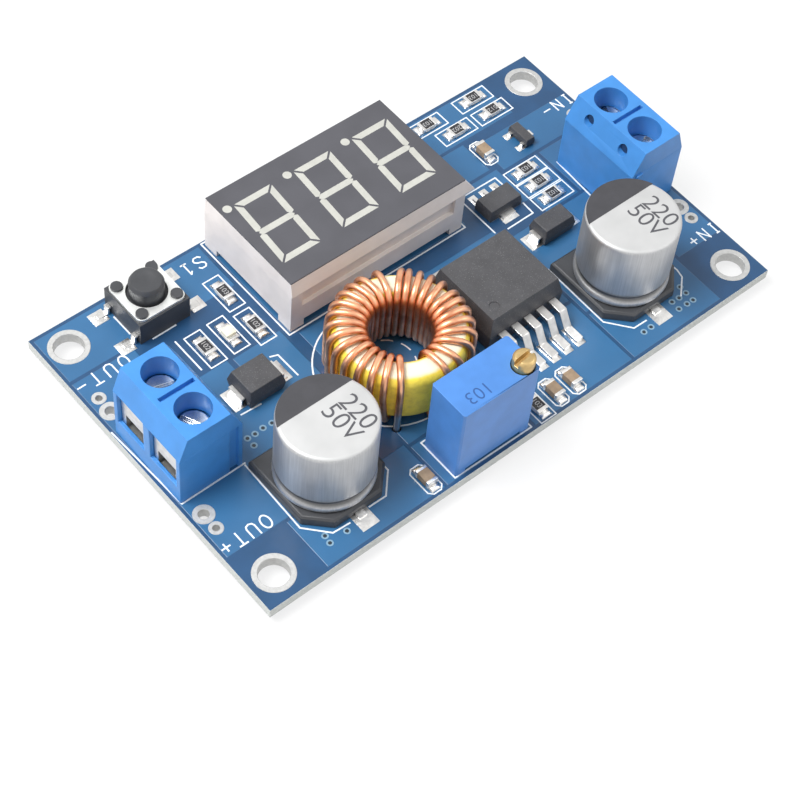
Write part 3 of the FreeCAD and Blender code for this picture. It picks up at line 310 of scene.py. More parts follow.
def makeMask(settings):
    # lacquer over copper areas; the cut edge shows pale glass cloth in layers
    look = Look("boardMask", settings["pale"], settings["rough"])
    x, y, z = look.axis("X"), look.axis("Y"), look.axis("Z")

    def copper(boxes):
        nearest = None
        for x0, x1, y0, y1 in boxes:
            across = (x - (x0 + x1) / 2 * mm).size() - (x1 - x0) / 2 * mm
            along = (y - (y0 + y1) / 2 * mm).size() - (y1 - y0) / 2 * mm
            reach = across.most(along)
            nearest = reach if nearest is None else nearest.least(reach)
        return 1 - nearest.step(0.0, 0.10 * mm)

    upper = z.step((boardLow.z + boardTop) / 2, 0.1 * mm)
    area = copper(settings["top"]) * upper + copper(settings["under"]) * (1 - upper)
    beyondX = x.size() - (boardHigh.x - 0.02 * mm)
    beyondY = y.size() - (boardHigh.y - 0.02 * mm)
    edge = beyondX.most(beyondY).step(0.0, 0.01 * mm)
    layers = look.noise(0.5, 2.0, (1.0, 1.0, 6.0)).step(0.5, 0.4)
    glass = look.mix(layers, [channel * 0.86 for channel in settings["edge"]], settings["edge"])
    lacquer = look.mix(area, look.vary(0.10, 3.0, settings["deep"]), look.vary(0.08, 6.0))
    look.set("Base Color", look.mix(edge, lacquer, glass))
    grain = look.noise(0.35, 2.0)
    look.set("Roughness", settings["rough"] + edge * 0.35 + look.noise(1.5, 2.0) * 0.06)
    look.set("Normal", look.bump(area + grain * 0.15, settings["bumpDepth"]))
    look.set("Coat Weight", settings["coat"])
    look.set("Coat Roughness", settings["coatRough"])
    return look.material


coreSettings = {
    "yellow": (0.92, 0.70, 0.07), "white": (0.86, 0.82, 0.64), "below": 0.17, "wander": 0.30, "rough": 0.48,
    "bumpDepth": 0.020, "coat": 0.3,
}


def makeCoreLook(settings):
    # sprayed paint: yellow, with one white face whose edge is not quite even
    look = Look("corePaint", settings["yellow"], settings["rough"])
    height = look.axis("Z") + (look.noise(2.2, 2.0) - 0.5) * (settings["wander"] * mm)
    white = height.step(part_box("inductor_core")[1].z - settings["below"] * mm, 0.25 * mm)
    grain = look.noise(0.16, 4.0)
    look.set("Base Color", look.mix(white, look.vary(0.12, 0.7), settings["white"]))
    look.set("Roughness", settings["rough"] - 0.08 + grain * 0.2)
    look.set("Normal", look.bump(grain, settings["bumpDepth"]))
    look.set("Coat Weight", settings["coat"])
    return look.material


# the lead's place, the half width and top of its tinned stretch, in millimetres
wireSettings = {
    "light": (0.91, 0.47, 0.27), "dark": (0.60, 0.25, 0.13), "tinned": (0.62, 0.60, 0.58), "rough": 0.30,
    "bumpDepth": 0.006, "coat": 0.6, "coatRough": 0.12,
    "lead": (-10.97, -10.87), "leadHalf": 0.8, "leadTop": 2.6,
}


def makeWireLook(settings):
    # enamelled copper, tinned where it enters the board
    look = Look("enamelledCopper", settings["light"], settings["rough"], 1.0)
    drift = look.noise(1.3, 3.0).step(0.45, 0.5)
    fine = look.noise(0.10, 3.0)
    copper = look.mix(drift, settings["dark"], settings["light"])
    z = look.axis("Z")
    leadX, leadY = settings["lead"]
    near = (look.axis("X") - leadX * mm).size().most((look.axis("Y") - leadY * mm).size())
    beside = 1 - near.step(settings["leadHalf"] * mm, 0.1 * mm)
    dipped = beside * (1 - z.step(boardTop + settings["leadTop"] * mm, 1.2 * mm))
    tinned = dipped.most(1 - z.step(boardTop - 0.1 * mm, 0.2 * mm))
    look.set("Base Color", look.mix(tinned, copper, settings["tinned"]))
    look.set("Roughness", settings["rough"] + fine * 0.12)
    look.set("Normal", look.bump(fine, settings["bumpDepth"]))
    look.set("Coat Weight", settings["coat"])
    look.set("Coat Roughness", settings["coatRough"])
    return look.material


canSettings = {
    "colour": (0.80, 0.80, 0.80), "rough": 0.44, "metal": 0.85, "topDull": 0.55,
    "side": ((0.46, 0.47, 0.48), (0.64, 0.64, 0.65)), "lines": (0.30, 0.30, 0.31),
    "top": ((0.47, 0.475, 0.475), (0.62, 0.62, 0.62)), "topFrom": 9.85,
    "foldShade": (0.10, 0.10, 0.10), "fold": 2.38, "foldHalf": 0.30,
}


def makeCanLook(settings):
    # drawn aluminium with faint upright lines and a shaded fold; the flat top is cloudy and duller
    look = Look("drawnAluminium", settings["colour"], settings["rough"], settings["metal"])
    top = look.axis("Z").step(boardTop + settings["topFrom"] * mm, 0.1 * mm)
    streak = look.noise(0.22, 4.0, (1.0, 1.0, 0.04))
    cloud = look.noise(3.0, 2.0)
    lines = look.noise(0.16, 2.0, (1.0, 1.0, 0.03)).step(0.5, 0.5)
    side = look.mix(lines * 0.35, look.mix(cloud, *settings["side"]), settings["lines"])
    away = (look.axis("Z") - (boardTop + settings["fold"] * mm)).size()
    shade = 1 - away.step(settings["foldHalf"] * mm, 0.35 * mm)
    side = look.mix(shade * 0.85, side, settings["foldShade"])
    look.set("Base Color", look.mix(top, side, look.mix(cloud, *settings["top"])))
    look.set("Metallic", settings["metal"] - top * settings["topDull"])
    look.set("Roughness", settings["rough"] - 0.05 + streak * 0.16)
    look.set("Normal", look.bump(streak, 0.004))
    return look.material


floorSettings = {"colour": (0.72, 0.72, 0.72), "rough": 0.65, "glow": 1.08, "whiteShare": 0.72, "half": 1.5}


def makeFloorLook(settings):
    # pale floor that keeps the shadow and shows mostly white
    look = Look("paleFloor", settings["colour"])
    glow = look.node("ShaderNodeEmission", {}, {"Color": (1.0, 1.0, 1.0, 1.0), "Strength": settings["glow"]})
    look.set("Roughness", settings["rough"] + look.noise(30.0, 2.0) * 0.1)
    surface = Signal(look, look.shader.outputs[0])
    share = look.seen() * settings["whiteShare"]
    blended = look.node("ShaderNodeMixShader", {}, {0: share, 1: surface, 2: glow})
    look.feed(look.tree.nodes["Material Output"].inputs["Surface"], blended)
    return look.material


def makeWorld(settings):
    # soft room that is paler overhead; the camera, metal and glass see it white
    world = bpy.data.worlds.new("softRoom")
    bpy.context.scene.world = world
    world.use_nodes = True
    shading = Shading(world.node_tree)
    whole = (1.0, 1.0, 1.0, 1.0)
    place = shading.node("ShaderNodeTexCoord", {}, {}, "Generated")
    height = shading.node("ShaderNodeSeparateXYZ", {}, {0: place}, "Z")
    lowest, highest = settings["worldFade"]
    strength = shading.node("ShaderNodeMapRange", {}, {
        "Value": height, "From Min": lowest, "From Max": highest, "To Min": settings["worldLow"],
        "To Max": settings["worldHigh"]})
    room = world.node_tree.nodes["Background"]
    shading.feed(room.inputs["Color"], whole)
    shading.feed(room.inputs["Strength"], strength)
    white = shading.node("ShaderNodeBackground", {}, {"Color": whole, "Strength": 1.0})
    plain = Signal(shading, room.outputs[0])
    shown = shading.node("ShaderNodeMixShader", {}, {0: shading.seen(), 1: plain, 2: white})
    shading.feed(world.node_tree.nodes["World Output"].inputs["Surface"], shown)


def makeFloor(settings):
    bm = bmesh.new()
    bmesh.ops.create_grid(bm, x_segments=1, y_segments=1, size=settings["half"])
    bmesh.ops.translate(bm, verts=bm.verts, vec=(0, 0, cadBounds[0][2]))
    mesh = bpy.data.meshes.new("floor")
    bm.to_mesh(mesh)
    bm.free()
    mesh.materials.append(makeFloorLook(settings))
    floor = addObject("floor", mesh)


makeCamera(cameraSettings)
makeWorld(lightSettings)
for name, settings in lightSettings["lamps"].items():
    makeLamp(name, **settings)
makeFloor(floorSettings)
bpy.context.scene.view_settings.view_transform = "Standard"
print("camera, light and floor are set")

# materials on the CAD nodes
looks = {name: makeFinish(name, *row) for name, row in finishes.items()}
looks["boardMask"] = makeMask(maskSettings)
looks["corePaint"] = makeCoreLook(coreSettings)
looks["enamelledCopper"] = makeWireLook(wireSettings)
looks["drawnAluminium"] = makeCanLook(canSettings)

# words in the names of each look's nodes; the first look that fits is taken
nodeLooks = {
    "boardMask": ["circuit_board"],
    "tin": ["hole_plating", "solder_joints", "_pins", "capacitor_leads"],
    "leadMetal": ["_leads", "_cages", "_clamp_plate"],
    "coverMetal": ["button_cover", "button_dome"],
    "screwBrass": ["trimmer_screw"],
    "screwMetal": ["_screw"],
    "drawnAluminium": ["capacitor_can"],
    "displayCase": ["display_shell"],
    "displayFilm": ["display_face"],
    "segmentResin": ["display_segments"],
    "terminalPlastic": ["terminal_base", "terminal_lid"],
    "trimmerPlastic": ["trimmer_housing"],
    "blackPlastic": ["capacitor_base", "button_base", "button_plunger"],
    "epoxyBlack": ["_body", "meter_chip"],
    "corePaint": ["inductor_core"],
    "enamelledCopper": ["inductor_winding"],
    "resistorGlaze": ["chip_resistor"],
    "capacitorCeramic": ["ceramic_capacitors"],
    "lampResin": ["indicator_lamp"],
}
lookOf = {}
for node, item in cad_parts.items():
    lookOf[node] = next(name for name, words in nodeLooks.items() if any(word in node for word in words))
    item.data.materials.clear()
    item.data.materials.append(looks[lookOf[node]])
print("materials are on", len(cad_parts), "nodes")


# tools for new pieces
slots = {
    "boardMask": "solder_mask", "tin": "tinned", "ringTin": "tinned", "leadMetal": "tinned", "viaRing": "tinned",
    "coverMetal": "steel", "screwMetal": "steel", "screwBrass": "brass", "drawnAluminium": "aluminium_can",
    "terminalPlastic": "terminal_blue", "holeShade": "terminal_blue", "trimmerPlastic": "trimmer_blue",
    "blackPlastic": "black_plastic", "epoxyBlack": "epoxy", "displayCase": "display_case", "corePaint": "ferrite",
    "enamelledCopper": "copper", "resistorCeramic": "resistor_body", "capacitorCeramic": "ceramic_chip",
}


def mendMesh(bm):
    bmesh.ops.remove_doubles(bm, verts=bm.verts, dist=1e-7)
    bmesh.ops.recalc_face_normals(bm, faces=bm.faces)


def addPiece(name, bm, pieceLooks, nodes=(), body="board", smooth=35.0, mend=True):
    # turns a bmesh into a piece that rides on a body and may stand for CAD nodes
    if mend:
        mendMesh(bm)
    mesh = bpy.data.meshes.new(name)
    bm.to_mesh(mesh)
    bm.free()
    mesh.shade_smooth()
    mesh.set_sharp_from_angle(angle=math.radians(smooth))
    for look in pieceLooks:
        mesh.materials.append(looks[look])
    piece = addObject(name, mesh)
    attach(piece, body)
    pieceLooks[0] in slots  # the slot of the piece's first look is looked up but not used; print looks have none
    if nodes:
        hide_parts(*nodes)
    return piece


def opened(mesh):
    # editable copy of a mesh, all in its first material
    bm = bmesh.new()
    bm.from_mesh(mesh)
    for face in bm.faces:
        face.material_index = 0
    return bm


def refine(name, node, width, body="board"):
    # a copy of a CAD node with merged corners and rounded edges, width in millimetres
    bm = opened(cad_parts[node].data)
    bmesh.ops.remove_doubles(bm, verts=bm.verts, dist=2e-6)
    moulded = "Leads" not in name  # bent leads keep the faces and normals that they have
    if moulded:
        bmesh.ops.dissolve_limit(bm, angle_limit=math.radians(1.0), verts=bm.verts, edges=bm.edges)
    piece = addPiece(name, bm, [lookOf[node]], [node], body, 30.0)
    bevel = piece.modifiers.new("softEdges", "BEVEL")
    bevel.width = width * mm
    bevel.segments = 2
    bevel.limit_method = "ANGLE"
    bevel.angle_limit = math.radians(40.0)
    bevel.harden_normals = moulded


def footOf(node):
    # the point on the board under a node's middle
    low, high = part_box(node)
    middle = (low + high) / 2
    return Vector((middle.x, middle.y, boardTop))


def addBlock(bm, middle, size, turn=0.0, material=0):
    # box about a point, of a size in millimetres; turn is about Z in degrees
    matrix = Matrix.Translation(middle) @ turned(turn) @ Matrix.Diagonal([side * mm for side in size]).to_4x4()
    made = bmesh.ops.create_cube(bm, size=1.0, matrix=matrix)
    faces = {face for vert in made["verts"] for face in vert.link_faces}
    for face in faces:
        face.material_index = material
    return faces


def pour(bm, extra):
    # adds one bmesh to another
    mesh = bpy.data.meshes.new("pour")
    extra.to_mesh(mesh)
    extra.free()
    bm.from_mesh(mesh)
    bpy.data.meshes.remove(mesh)


def addSpin(bm, profile, middle, steps=96, material=0):
    # turns a profile of (radius, height) points in millimetres about a vertical line
    made = bmesh.new()
    verts = [made.verts.new((radius * mm, 0.0, height * mm)) for radius, height in profile]
    edges = [made.edges.new(pair) for pair in zip(verts, verts[1:])]
    bmesh.ops.spin(made, geom=verts + edges, cent=(0, 0, 0), axis=(0, 0, 1), angle=2 * math.pi, steps=steps,
                   use_merge=True)
    mendMesh(made)
    bmesh.ops.translate(made, verts=made.verts, vec=middle)
    for face in made.faces:
        face.material_index = material
    pour(bm, made)


def openedCurve(curve, matrix=Matrix()):
    # editable mesh of a curve or a text, laid by a matrix
    holder = addObject("holder", curve)
    bpy.context.view_layer.update()
    mesh = bpy.data.meshes.new_from_object(holder.evaluated_get(bpy.context.evaluated_depsgraph_get()))
    bpy.data.objects.remove(holder)
    mesh.transform(matrix)
    return opened(mesh)


def makeText(name, words, height, matrix, look, bold=0.0):
    # flat raised lettering, with measures in millimetres
    data = bpy.data.curves.new(name, "FONT")
    data.body = words
    data.size = height * mm
    data.extrude = 0.006 * mm
    data.offset = bold * mm
    data.align_x = "CENTER"
    data.align_y = "CENTER"
    addPiece(name, openedCurve(data, matrix), [look])


# white print on the board; each stroke has one of nine heights, so that no two that cross share a face
strokeSettings = {"height": 0.020, "rise": 0.0016, "heights": 9, "overlap": 0.6}


def addStroke(bm, points, width):
    # run of straight strokes through points, in millimetres
    cubes = len(bm.verts) // 8
    for i, ((x0, y0), (x1, y1)) in enumerate(zip(points, points[1:])):
        height = strokeSettings["height"] + strokeSettings["rise"] * ((cubes + 2 * i) % strokeSettings["heights"])
        length = math.hypot(x1 - x0, y1 - y0) + width * strokeSettings["overlap"]
        turn = math.degrees(math.atan2(y1 - y0, x1 - x0))
        middle = part((x0 + x1) / 2, (y0 + y1) / 2, height / 2)
        addBlock(bm, middle, (length, width, height), turn)


def arcPoints(x, y, radius, start, finish, steps=24):
    angles = [math.radians(start + (finish - start) * i / steps) for i in range(steps + 1)]
    return [(x + radius * math.cos(angle), y + radius * math.sin(angle)) for angle in angles]


def boxPoints(x, y, length, width, cut=0.0):
    corners = [(-1, -1), (1, -1), (1, 1), (-1, 1), (-1, -1)]
    if not cut:
        return [(x + i * length / 2, y + j * width / 2) for i, j in corners]
    points = []
    for i, j in corners[:4]:
        pair = [(i * (length / 2 - cut), j * width / 2), (i * length / 2, j * (width / 2 - cut))]
        points += pair if i * j < 0 else pair[::-1]
    return [(x + dx, y + dy) for dx, dy in points + points[:1]]


# strokes of the board's plain capitals, in a cell one unit high
letterStrokes = {
    "O": [[(0.32 + 0.32 * math.cos(math.radians(a)), 0.5 + 0.5 * math.sin(math.radians(a)))
           for a in range(0, 361, 18)]],
    "I": [[(0.0, 0.0), (0.0, 1.0)], [(-0.12, 0.0), (0.12, 0.0)], [(-0.12, 1.0), (0.12, 1.0)]],
    "N": [[(0.0, 0.0), (0.0, 1.0), (0.6, 0.0), (0.6, 1.0)]],
    "T": [[(0.0, 1.0), (0.6, 1.0)], [(0.3, 1.0), (0.3, 0.0)]],
    "U": [[(0.0, 1.0), (0.0, 0.25), (0.08, 0.08), (0.3, 0.0), (0.52, 0.08), (0.6, 0.25), (0.6, 1.0)]],
    "S": [[(0.58, 0.85), (0.45, 1.0), (0.15, 1.0), (0.0, 0.85), (0.0, 0.68), (0.15, 0.55), (0.45, 0.45),
           (0.6, 0.32), (0.6, 0.15), (0.45, 0.0), (0.15, 0.0), (0.0, 0.15)]],
    "1": [[(-0.18, 0.8), (0.0, 1.0), (0.0, 0.0)], [(-0.2, 0.0), (0.2, 0.0)]],
    "+": [[(0.0, 0.5), (0.6, 0.5)], [(0.3, 0.2), (0.3, 0.8)]],
    "-": [[(0.0, 0.5), (0.6, 0.5)]],
}


def addWord(bm, word, x, y, height, advance, width):
    # word read towards -X whose first letter is centred on x, in millimetres
    for i, letter in enumerate(word):
        half = 0.0 if letter in "I1" else 0.3
        for stroke in letterStrokes[letter]:
            placed = [(x - i * advance + (half - px) * height, y + (0.5 - py) * height) for px, py in stroke]
            addStroke(bm, placed, width)


# places of the chip capacitors
ceramicPlaces = [(19.65, 10.95), (6.6, -16.95), (4.25, -17.0), (-12.5, -17.05)]

printSettings = {
    "line": 0.165, "boxLine": 0.85, "dashLine": 0.9,
    "words": [("OUT-", -27.0, 11.55, 1.5, 1.68), ("OUT+", -27.4, -11.42, 1.5, 1.56), ("IN-", 32.45, 11.5, 1.4, 1.5),
              ("IN+", 32.45, -11.62, 1.4, 1.5), ("S1", -13.7, 17.1, 1.5, 1.55)],
    "outlines": [
        # output capacitor and terminal
        [(-25.1, -5.22), (-25.35, -13.93), (-23.26, -16.24), (-21.31, -16.37)],
        [(-18.77, -16.1), (-16.71, -16.14), (-14.67, -13.99), (-14.67, -5.4)],
        [(-32.88, 5.45), (-32.41, -5.1), (-24.96, -5.04)],
        [(-21.65, 6.2), (-21.65, 10.5)],
        # button
        [(-24.61, 16.63), (-24.59, 13.97)],
        [(-23.16, 12.11), (-20.34, 12.14)],
        # output diode
        [(-15.36, 3.4), (-14.58, 3.11), (-14.53, 0.0)],
        [(-21.87, -0.4), (-19.54, -0.54)],
        # input diode
        [(13.23, 7.01), (13.22, 1.89)],
        [(14.69, 1.48), (18.29, 1.52), (18.37, 3.19)],
        [(13.77, 7.64), (18.3, 7.6), (18.33, 6.35)],
        # input capacitor and terminal
        [(24.9, -5.0), (25.24, -13.32), (25.01, -14.31), (23.14, -16.05)],
        [(14.4, -5.1), (14.3, -13.6), (16.3, -16.1), (18.0, -16.15)],
        [(25.24, 5.3), (24.92, -0.3)],
        # trimmer
        [(-10.13, -13.55), (-10.16, -18.63), (-0.3, -18.73), (-0.3, -13.55), (-10.13, -13.55)],
        # display
        [(-12.15, 4.35), (11.2, 4.35), (11.2, 18.95), (-12.15, 18.95), (-12.15, 4.35)],
    ],
    "boxes": [
        (-14.15, 12.45, 1.95, 4.5), (-14.2, 7.3, 1.95, 4.5), (-19.8, 8.0, 1.95, 4.5), (-16.95, 8.05, 1.95, 4.5),
        (17.2, 17.55, 4.5, 1.95), (19.3, 15.05, 4.5, 1.95), (23.85, 17.6, 4.5, 1.95), (24.4, 15.0, 4.5, 1.95),
        (21.6, 6.4, 4.6, 1.95), (21.6, 4.28, 4.6, 1.95), (21.6, 2.13, 4.6, 1.95), (1.75, -17.05, 1.95, 4.0),
    ],
    # cut corners round the chip capacitors
    "cutBox": (1.75, 3.5), "cut": 0.42,
    # ring round the inductor and the dashes in its eye
    "coil": (-6.7, -4.35), "ring": 7.45, "dashes": 3.0, "dashAngles": [(-40, -18), (0, 22), (40, 62)],
}


def makeBoardPrint(settings):
    bm = bmesh.new()
    line = settings["line"]
    for outline in settings["outlines"]:
        addStroke(bm, outline, line)
    for box in settings["boxes"]:
        addStroke(bm, boxPoints(*box), line * settings["boxLine"])
    for x, y in ceramicPlaces:
        addStroke(bm, boxPoints(x, y, *settings["cutBox"], settings["cut"]), line * settings["boxLine"])
    addStroke(bm, arcPoints(*settings["coil"], settings["ring"], 0, 360, 60), line)
    for start, finish in settings["dashAngles"]:
        addStroke(bm, arcPoints(*settings["coil"], settings["dashes"], start, finish, 3), line * settings["dashLine"])
    for word, x, y, height, advance in settings["words"]:
        addWord(bm, word, x, y, height, advance, line)
    addPiece("boardPrint", bm, ["printWhite"], mend=False)


makeBoardPrint(printSettings)

underSettings = {
    "line": 0.2, "outlineLine": 0.8,
    "words": [("OUT-", 32.2, 12.6, 1.7, 1.75), ("OUT+", 32.2, -12.6, 1.7, 1.75), ("IN-", -26.8, 12.6, 1.7, 1.75),
              ("IN+", -26.8, -12.6, 1.7, 1.75)],
    "outlines": [boxPoints(0.5, 11.65, 23.4, 14.8), boxPoints(28.85, 0.15, 7.3, 10.3),
                 boxPoints(-28.85, 0.15, 7.3, 10.3), boxPoints(5.3, -16.2, 9.5, 4.6),
                 arcPoints(6.33, -5.33, 7.2, 0, 360, 48)],
    "ring": (0.55, 1.05), "proud": 0.03,
}


def makeUndersidePrint(settings):
    # labels and outlines, turned over to be read from below
    level = Vector((0, 0, (boardLow.z + boardTop) / 2))
    over = Matrix.Translation(level) @ Matrix.Rotation(math.pi, 4, "Y") @ Matrix.Translation(-level)
    bm = bmesh.new()
    for outline in settings["outlines"]:
        addStroke(bm, outline, settings["line"] * settings["outlineLine"])
    for word, x, y, height, advance in settings["words"]:
        addWord(bm, word, x, y, height, advance, settings["line"])
    bmesh.ops.transform(bm, matrix=over, verts=bm.verts)
    addPiece("undersidePrint", bm, ["printWhite"], mend=False)


def makeUndersidePads(settings):
    # a tinned ring round each solder joint, which is one island of the node's mesh
    joints = opened(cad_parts["solder_joints"].data)
    bmesh.ops.remove_doubles(joints, verts=joints.verts, dist=1e-6)
    left = set(joints.verts)
    rings = bmesh.new()
    inner, outer = settings["ring"]
    low = boardLow.z / mm
    proud = low - settings["proud"]
    while left:
        island, edge = set(), [left.pop()]
        while edge:
            vert = edge.pop()
            island.add(vert)
            near = {side.other_vert(vert) for side in vert.link_edges} & left
            left -= near
            edge.extend(near)
        xs, ys = [vert.co.x for vert in island], [vert.co.y for vert in island]
        place = Vector(((min(xs) + max(xs)) / 2, (min(ys) + max(ys)) / 2, 0.0))
        addSpin(rings, [(inner, low), (inner, proud), (outer, proud), (outer, low), (inner, low)], place, 24)
    joints.free()
    addPiece("undersidePads", rings, ["ringTin"])


makeUndersidePrint(underSettings)
makeUndersidePads(underSettings)
print("board print is done")

# rims of the plated holes: place off the centre, row's middle, radius of the hole and of its ring
rimSettings = {
    "holes": [(30.25, 16.25, 0.0, 1.55, 2.125), (31.5, 7.4, 0.15, 0.55, 1.1), (31.5, 9.3, 0.15, 0.35, 0.75)],
    "steps": 48, "proud": 0.05, "lip": 0.04,
}


def makeHoleRims(settings):
    bm = bmesh.new()
    proud, lip = settings["proud"], settings["lip"]
    low, high = boardLow.z / mm - proud, boardTop / mm + proud
    for i in (-1, 1):
        for j in (-1, 1):
            for across, along, row, hole, ring in settings["holes"]:
                wall = hole + 0.05  # inside the board's own hole
                profile = [(hole, low + lip), (hole, high - lip), (hole + lip, high), (ring - lip, high),
                           (ring, high - lip), (ring, high - proud), (wall, high - proud), (wall, low + proud),
                           (ring, low + proud), (ring, low + lip), (ring - lip, low), (hole + lip, low),
                           (hole, low + lip)]
                addSpin(bm, profile, Vector((i * across * mm, (row + j * along) * mm, 0.0)), settings["steps"])
    addPiece("holeRims", bm, ["ringTin"], ["hole_plating"])


makeHoleRims(rimSettings)

viaSettings = {
    "hole": 0.2, "ring": 0.36, "proud": 0.02, "fill": 0.006, "clear": 0.01,
    "places": [(-22.16, -2.98), (-21.13, -2.89), (-23.05, -2.95), (-23.06, -3.97), (-20.08, -2.96), (-24.06, -16.04),
               (-24.17, -16.92), (-22.09, -16.88), (23.9, -15.14), (23.84, -16.08), (22.79, -16.11), (23.78, -17.19),
               (22.91, -17.18), (21.77, -17.14), (21.83, -16.04), (17.81, -17.05), (16.78, -17.07)],
}


def makeVias(settings):
    # small plated holes: a rim, and a dark disc in the middle as painted shade for the open hole, on both faces of
    # the board
    bm = bmesh.new()
    hole, ring = settings["hole"], settings["ring"]
    inside = hole - settings["clear"]
    for x, y in settings["places"]:
        place = Vector((x * mm, y * mm, 0.0))
        for level, way in ((boardTop / mm, 1), (boardLow.z / mm, -1)):
            proud, fill = level + way * settings["proud"], level + way * settings["fill"]
            addSpin(bm, [(hole, level), (hole, proud), (ring, proud), (ring, level), (hole, level)], place, 20, 0)
            addSpin(bm, [(0.0, level), (inside, level), (inside, fill), (0.0, fill)], place, 16, 1)
    addPiece("vias", bm, ["viaRing", "viaHoleShade"])


makeVias(viaSettings)

# solder on pads and leads: place, length and width of each pad
padSettings = {
    "flat": [
        # button leads
        (-25.9, 17.45, 1.7, 1.6), (-25.9, 12.9, 1.7, 1.6), (-17.2, 17.5, 1.6, 1.6), (-17.2, 13.05, 1.6, 1.6),
        # output diode
        (-21.3, 1.4, 1.6, 2.6), (-15.9, 1.4, 1.6, 2.6),
        # input diode
        (15.6, -1.35, 1.7, 2.0), (20.7, -1.35, 1.7, 2.0),
        # capacitors
        (-19.95, -16.9, 2.0, 2.1), (19.6, -16.4, 2.0, 2.1),
        # small regulator and transistor
        (14.4, 6.5, 0.9, 1.3), (15.9, 6.5, 0.9, 1.3), (17.4, 6.5, 0.9, 1.3), (15.9, 2.7, 2.0, 1.2),
        (23.4, 11.2, 1.0, 0.8), (23.4, 9.2, 1.0, 0.8), (25.4, 10.2, 1.0, 0.8),
    ],
    "flatHeight": 0.16,
    "leadPads": [(7.2 + 1.7 * k, -13.1, 1.1, 2.6) for k in (-2, -1, 0, 1, 2)],
    "leadHeight": 0.22,
}


def addSolder(bm, x, y, length, width, height, seed):
    # uneven cushion of solder over a pad
    chance = random.Random(seed)
    made = bmesh.new()
    addBlock(made, part(x, y, height / 2), (length, width, height))
    bmesh.ops.subdivide_edges(made, edges=made.edges[:], cuts=5, use_grid_fill=True)
    middle = part(x, y)
    for vert in made.verts:
        share = (vert.co.z - boardTop) / (height * mm)
        if share < 0.1:
            continue
        across = (vert.co.x - middle.x) / (length * mm / 2)
        along = (vert.co.y - middle.y) / (width * mm / 2)
        dome = max(0.0, (1 - across ** 4) * (1 - along ** 4))
        vert.co.z = boardTop + height * mm * share * (0.3 + (0.6 + 0.1 * chance.uniform(-1, 1)) * dome)
    pour(bm, made)


def makeSolderPads(settings):
    bm = bmesh.new()
    for i, (x, y, length, width) in enumerate(settings["flat"]):
        addSolder(bm, x, y, length, width, settings["flatHeight"], i)
    for i, (x, y, length, width) in enumerate(settings["leadPads"]):
        addSolder(bm, x, y, length, width, settings["leadHeight"], 40 + i)
    addPiece("solderPads", bm, ["tin"], smooth=60.0, mend=False)


makeSolderPads(padSettings)
print("holes and solder are done")

# chip resistors: the axis that each lies along, its code, and measures in millimetres
chipSettings = {
    "resistors": ["y", "y", "y", "x", "x", "x", "x", "x", "x", "x", "y"],
    "codes": ["103", "102", "102", "103", "202", "103", "512", "103", "103", "102", "103"],
    "length": 2.0, "width": 1.25, "height": 0.5, "cap": 0.38, "lift": 0.03, "glaze": 0.04, "capRise": 0.06,
    "codeSize": 0.80,
}


def bevelAll(bm, faces, width, segments=2):
    edges = list({edge for face in faces if face.is_valid for edge in face.edges})
    bmesh.ops.bevel(bm, geom=edges, offset=width * mm, offset_type="OFFSET", segments=segments, profile=0.5,
                    affect="EDGES", material=-1, clamp_overlap=True)


def makeResistors(settings):
    length, width, height, cap = (settings[key] for key in ("length", "width", "height", "cap"))
    top = height + settings["capRise"]
    for i, (along, code) in enumerate(zip(settings["resistors"], settings["codes"]), 1):
        node = f"chip_resistor_{i:02d}"
        foot = footOf(node)
        turn = 90.0 if along == "y" else 0.0
        bm = bmesh.new()
        addBlock(bm, foot + Vector((0, 0, (height / 2 + settings["lift"]) * mm)), (length - 0.1, width, height),
                 turn, 0)
        addBlock(bm, foot + Vector((0, 0, (height + settings["glaze"]) * mm)),
                 (length - 2 * cap, width - 0.1, settings["glaze"]), turn, 1)
        for way in (-1, 1):
            shift = turned(turn) @ Vector((way * (length - cap) / 2 * mm, 0, top / 2 * mm))
            faces = addBlock(bm, foot + shift, (cap, width + 0.05, top), turn, 2)
            bevelAll(bm, faces, 0.06)
        addPiece(f"chipResistor{i:02d}", bm, ["resistorCeramic", "resistorGlaze", "tin"], [node])
        matrix = Matrix.Translation(foot + Vector((0, 0, top * mm))) @ turned(turn + 180.0)
        makeText(f"resistorCode{i:02d}", code, settings["codeSize"], matrix, "printPale")


# chip capacitors and the lamp are stacks of blocks: shift along Y, height of the middle, size in
# millimetres, bevel, its segments and the number of the material
ceramicSettings = {
    "blocks": [(0.0, 0.49, (1.2, 1.9, 0.9), 0.06, 2, 0),
               (-0.82, 0.49, (1.26, 0.4, 0.96), 0.08, 2, 1),
               (0.82, 0.49, (1.26, 0.4, 0.96), 0.08, 2, 1)],
}
lampSettings = {
    "blocks": [(0.0, 0.22, (1.25, 1.9, 0.4), 0.04, 2, 0),
               (0.0, 0.56, (1.2, 1.2, 0.4), 0.12, 3, 1),
               (-0.85, 0.23, (1.3, 0.32, 0.46), 0.05, 2, 2),
               (0.85, 0.23, (1.3, 0.32, 0.46), 0.05, 2, 2)],
}


def addStack(bm, x, y, blocks):
    for shift, height, size, bevel, segments, material in blocks:
        faces = addBlock(bm, part(x, y + shift, height), size, 0.0, material)
        bevelAll(bm, faces, bevel, segments)


def makeCeramics(settings):
    bm = bmesh.new()
    for x, y in ceramicPlaces:
        addStack(bm, x, y, settings["blocks"])
    addPiece("chipCapacitors", bm, ["capacitorCeramic", "tin"], ["ceramic_capacitors"], mend=False)


def makeIndicatorLamp(settings):
    foot = footOf("indicator_lamp")
    bm = bmesh.new()
    addStack(bm, foot.x / mm, foot.y / mm, settings["blocks"])
    addPiece("indicatorLamp", bm, ["resistorCeramic", "lampResin", "tin"], ["indicator_lamp"], mend=False)


filletSettings = {"beyond": 0.22, "length": 0.75, "height": 0.34, "resistor": 1.2, "other": 1.1}


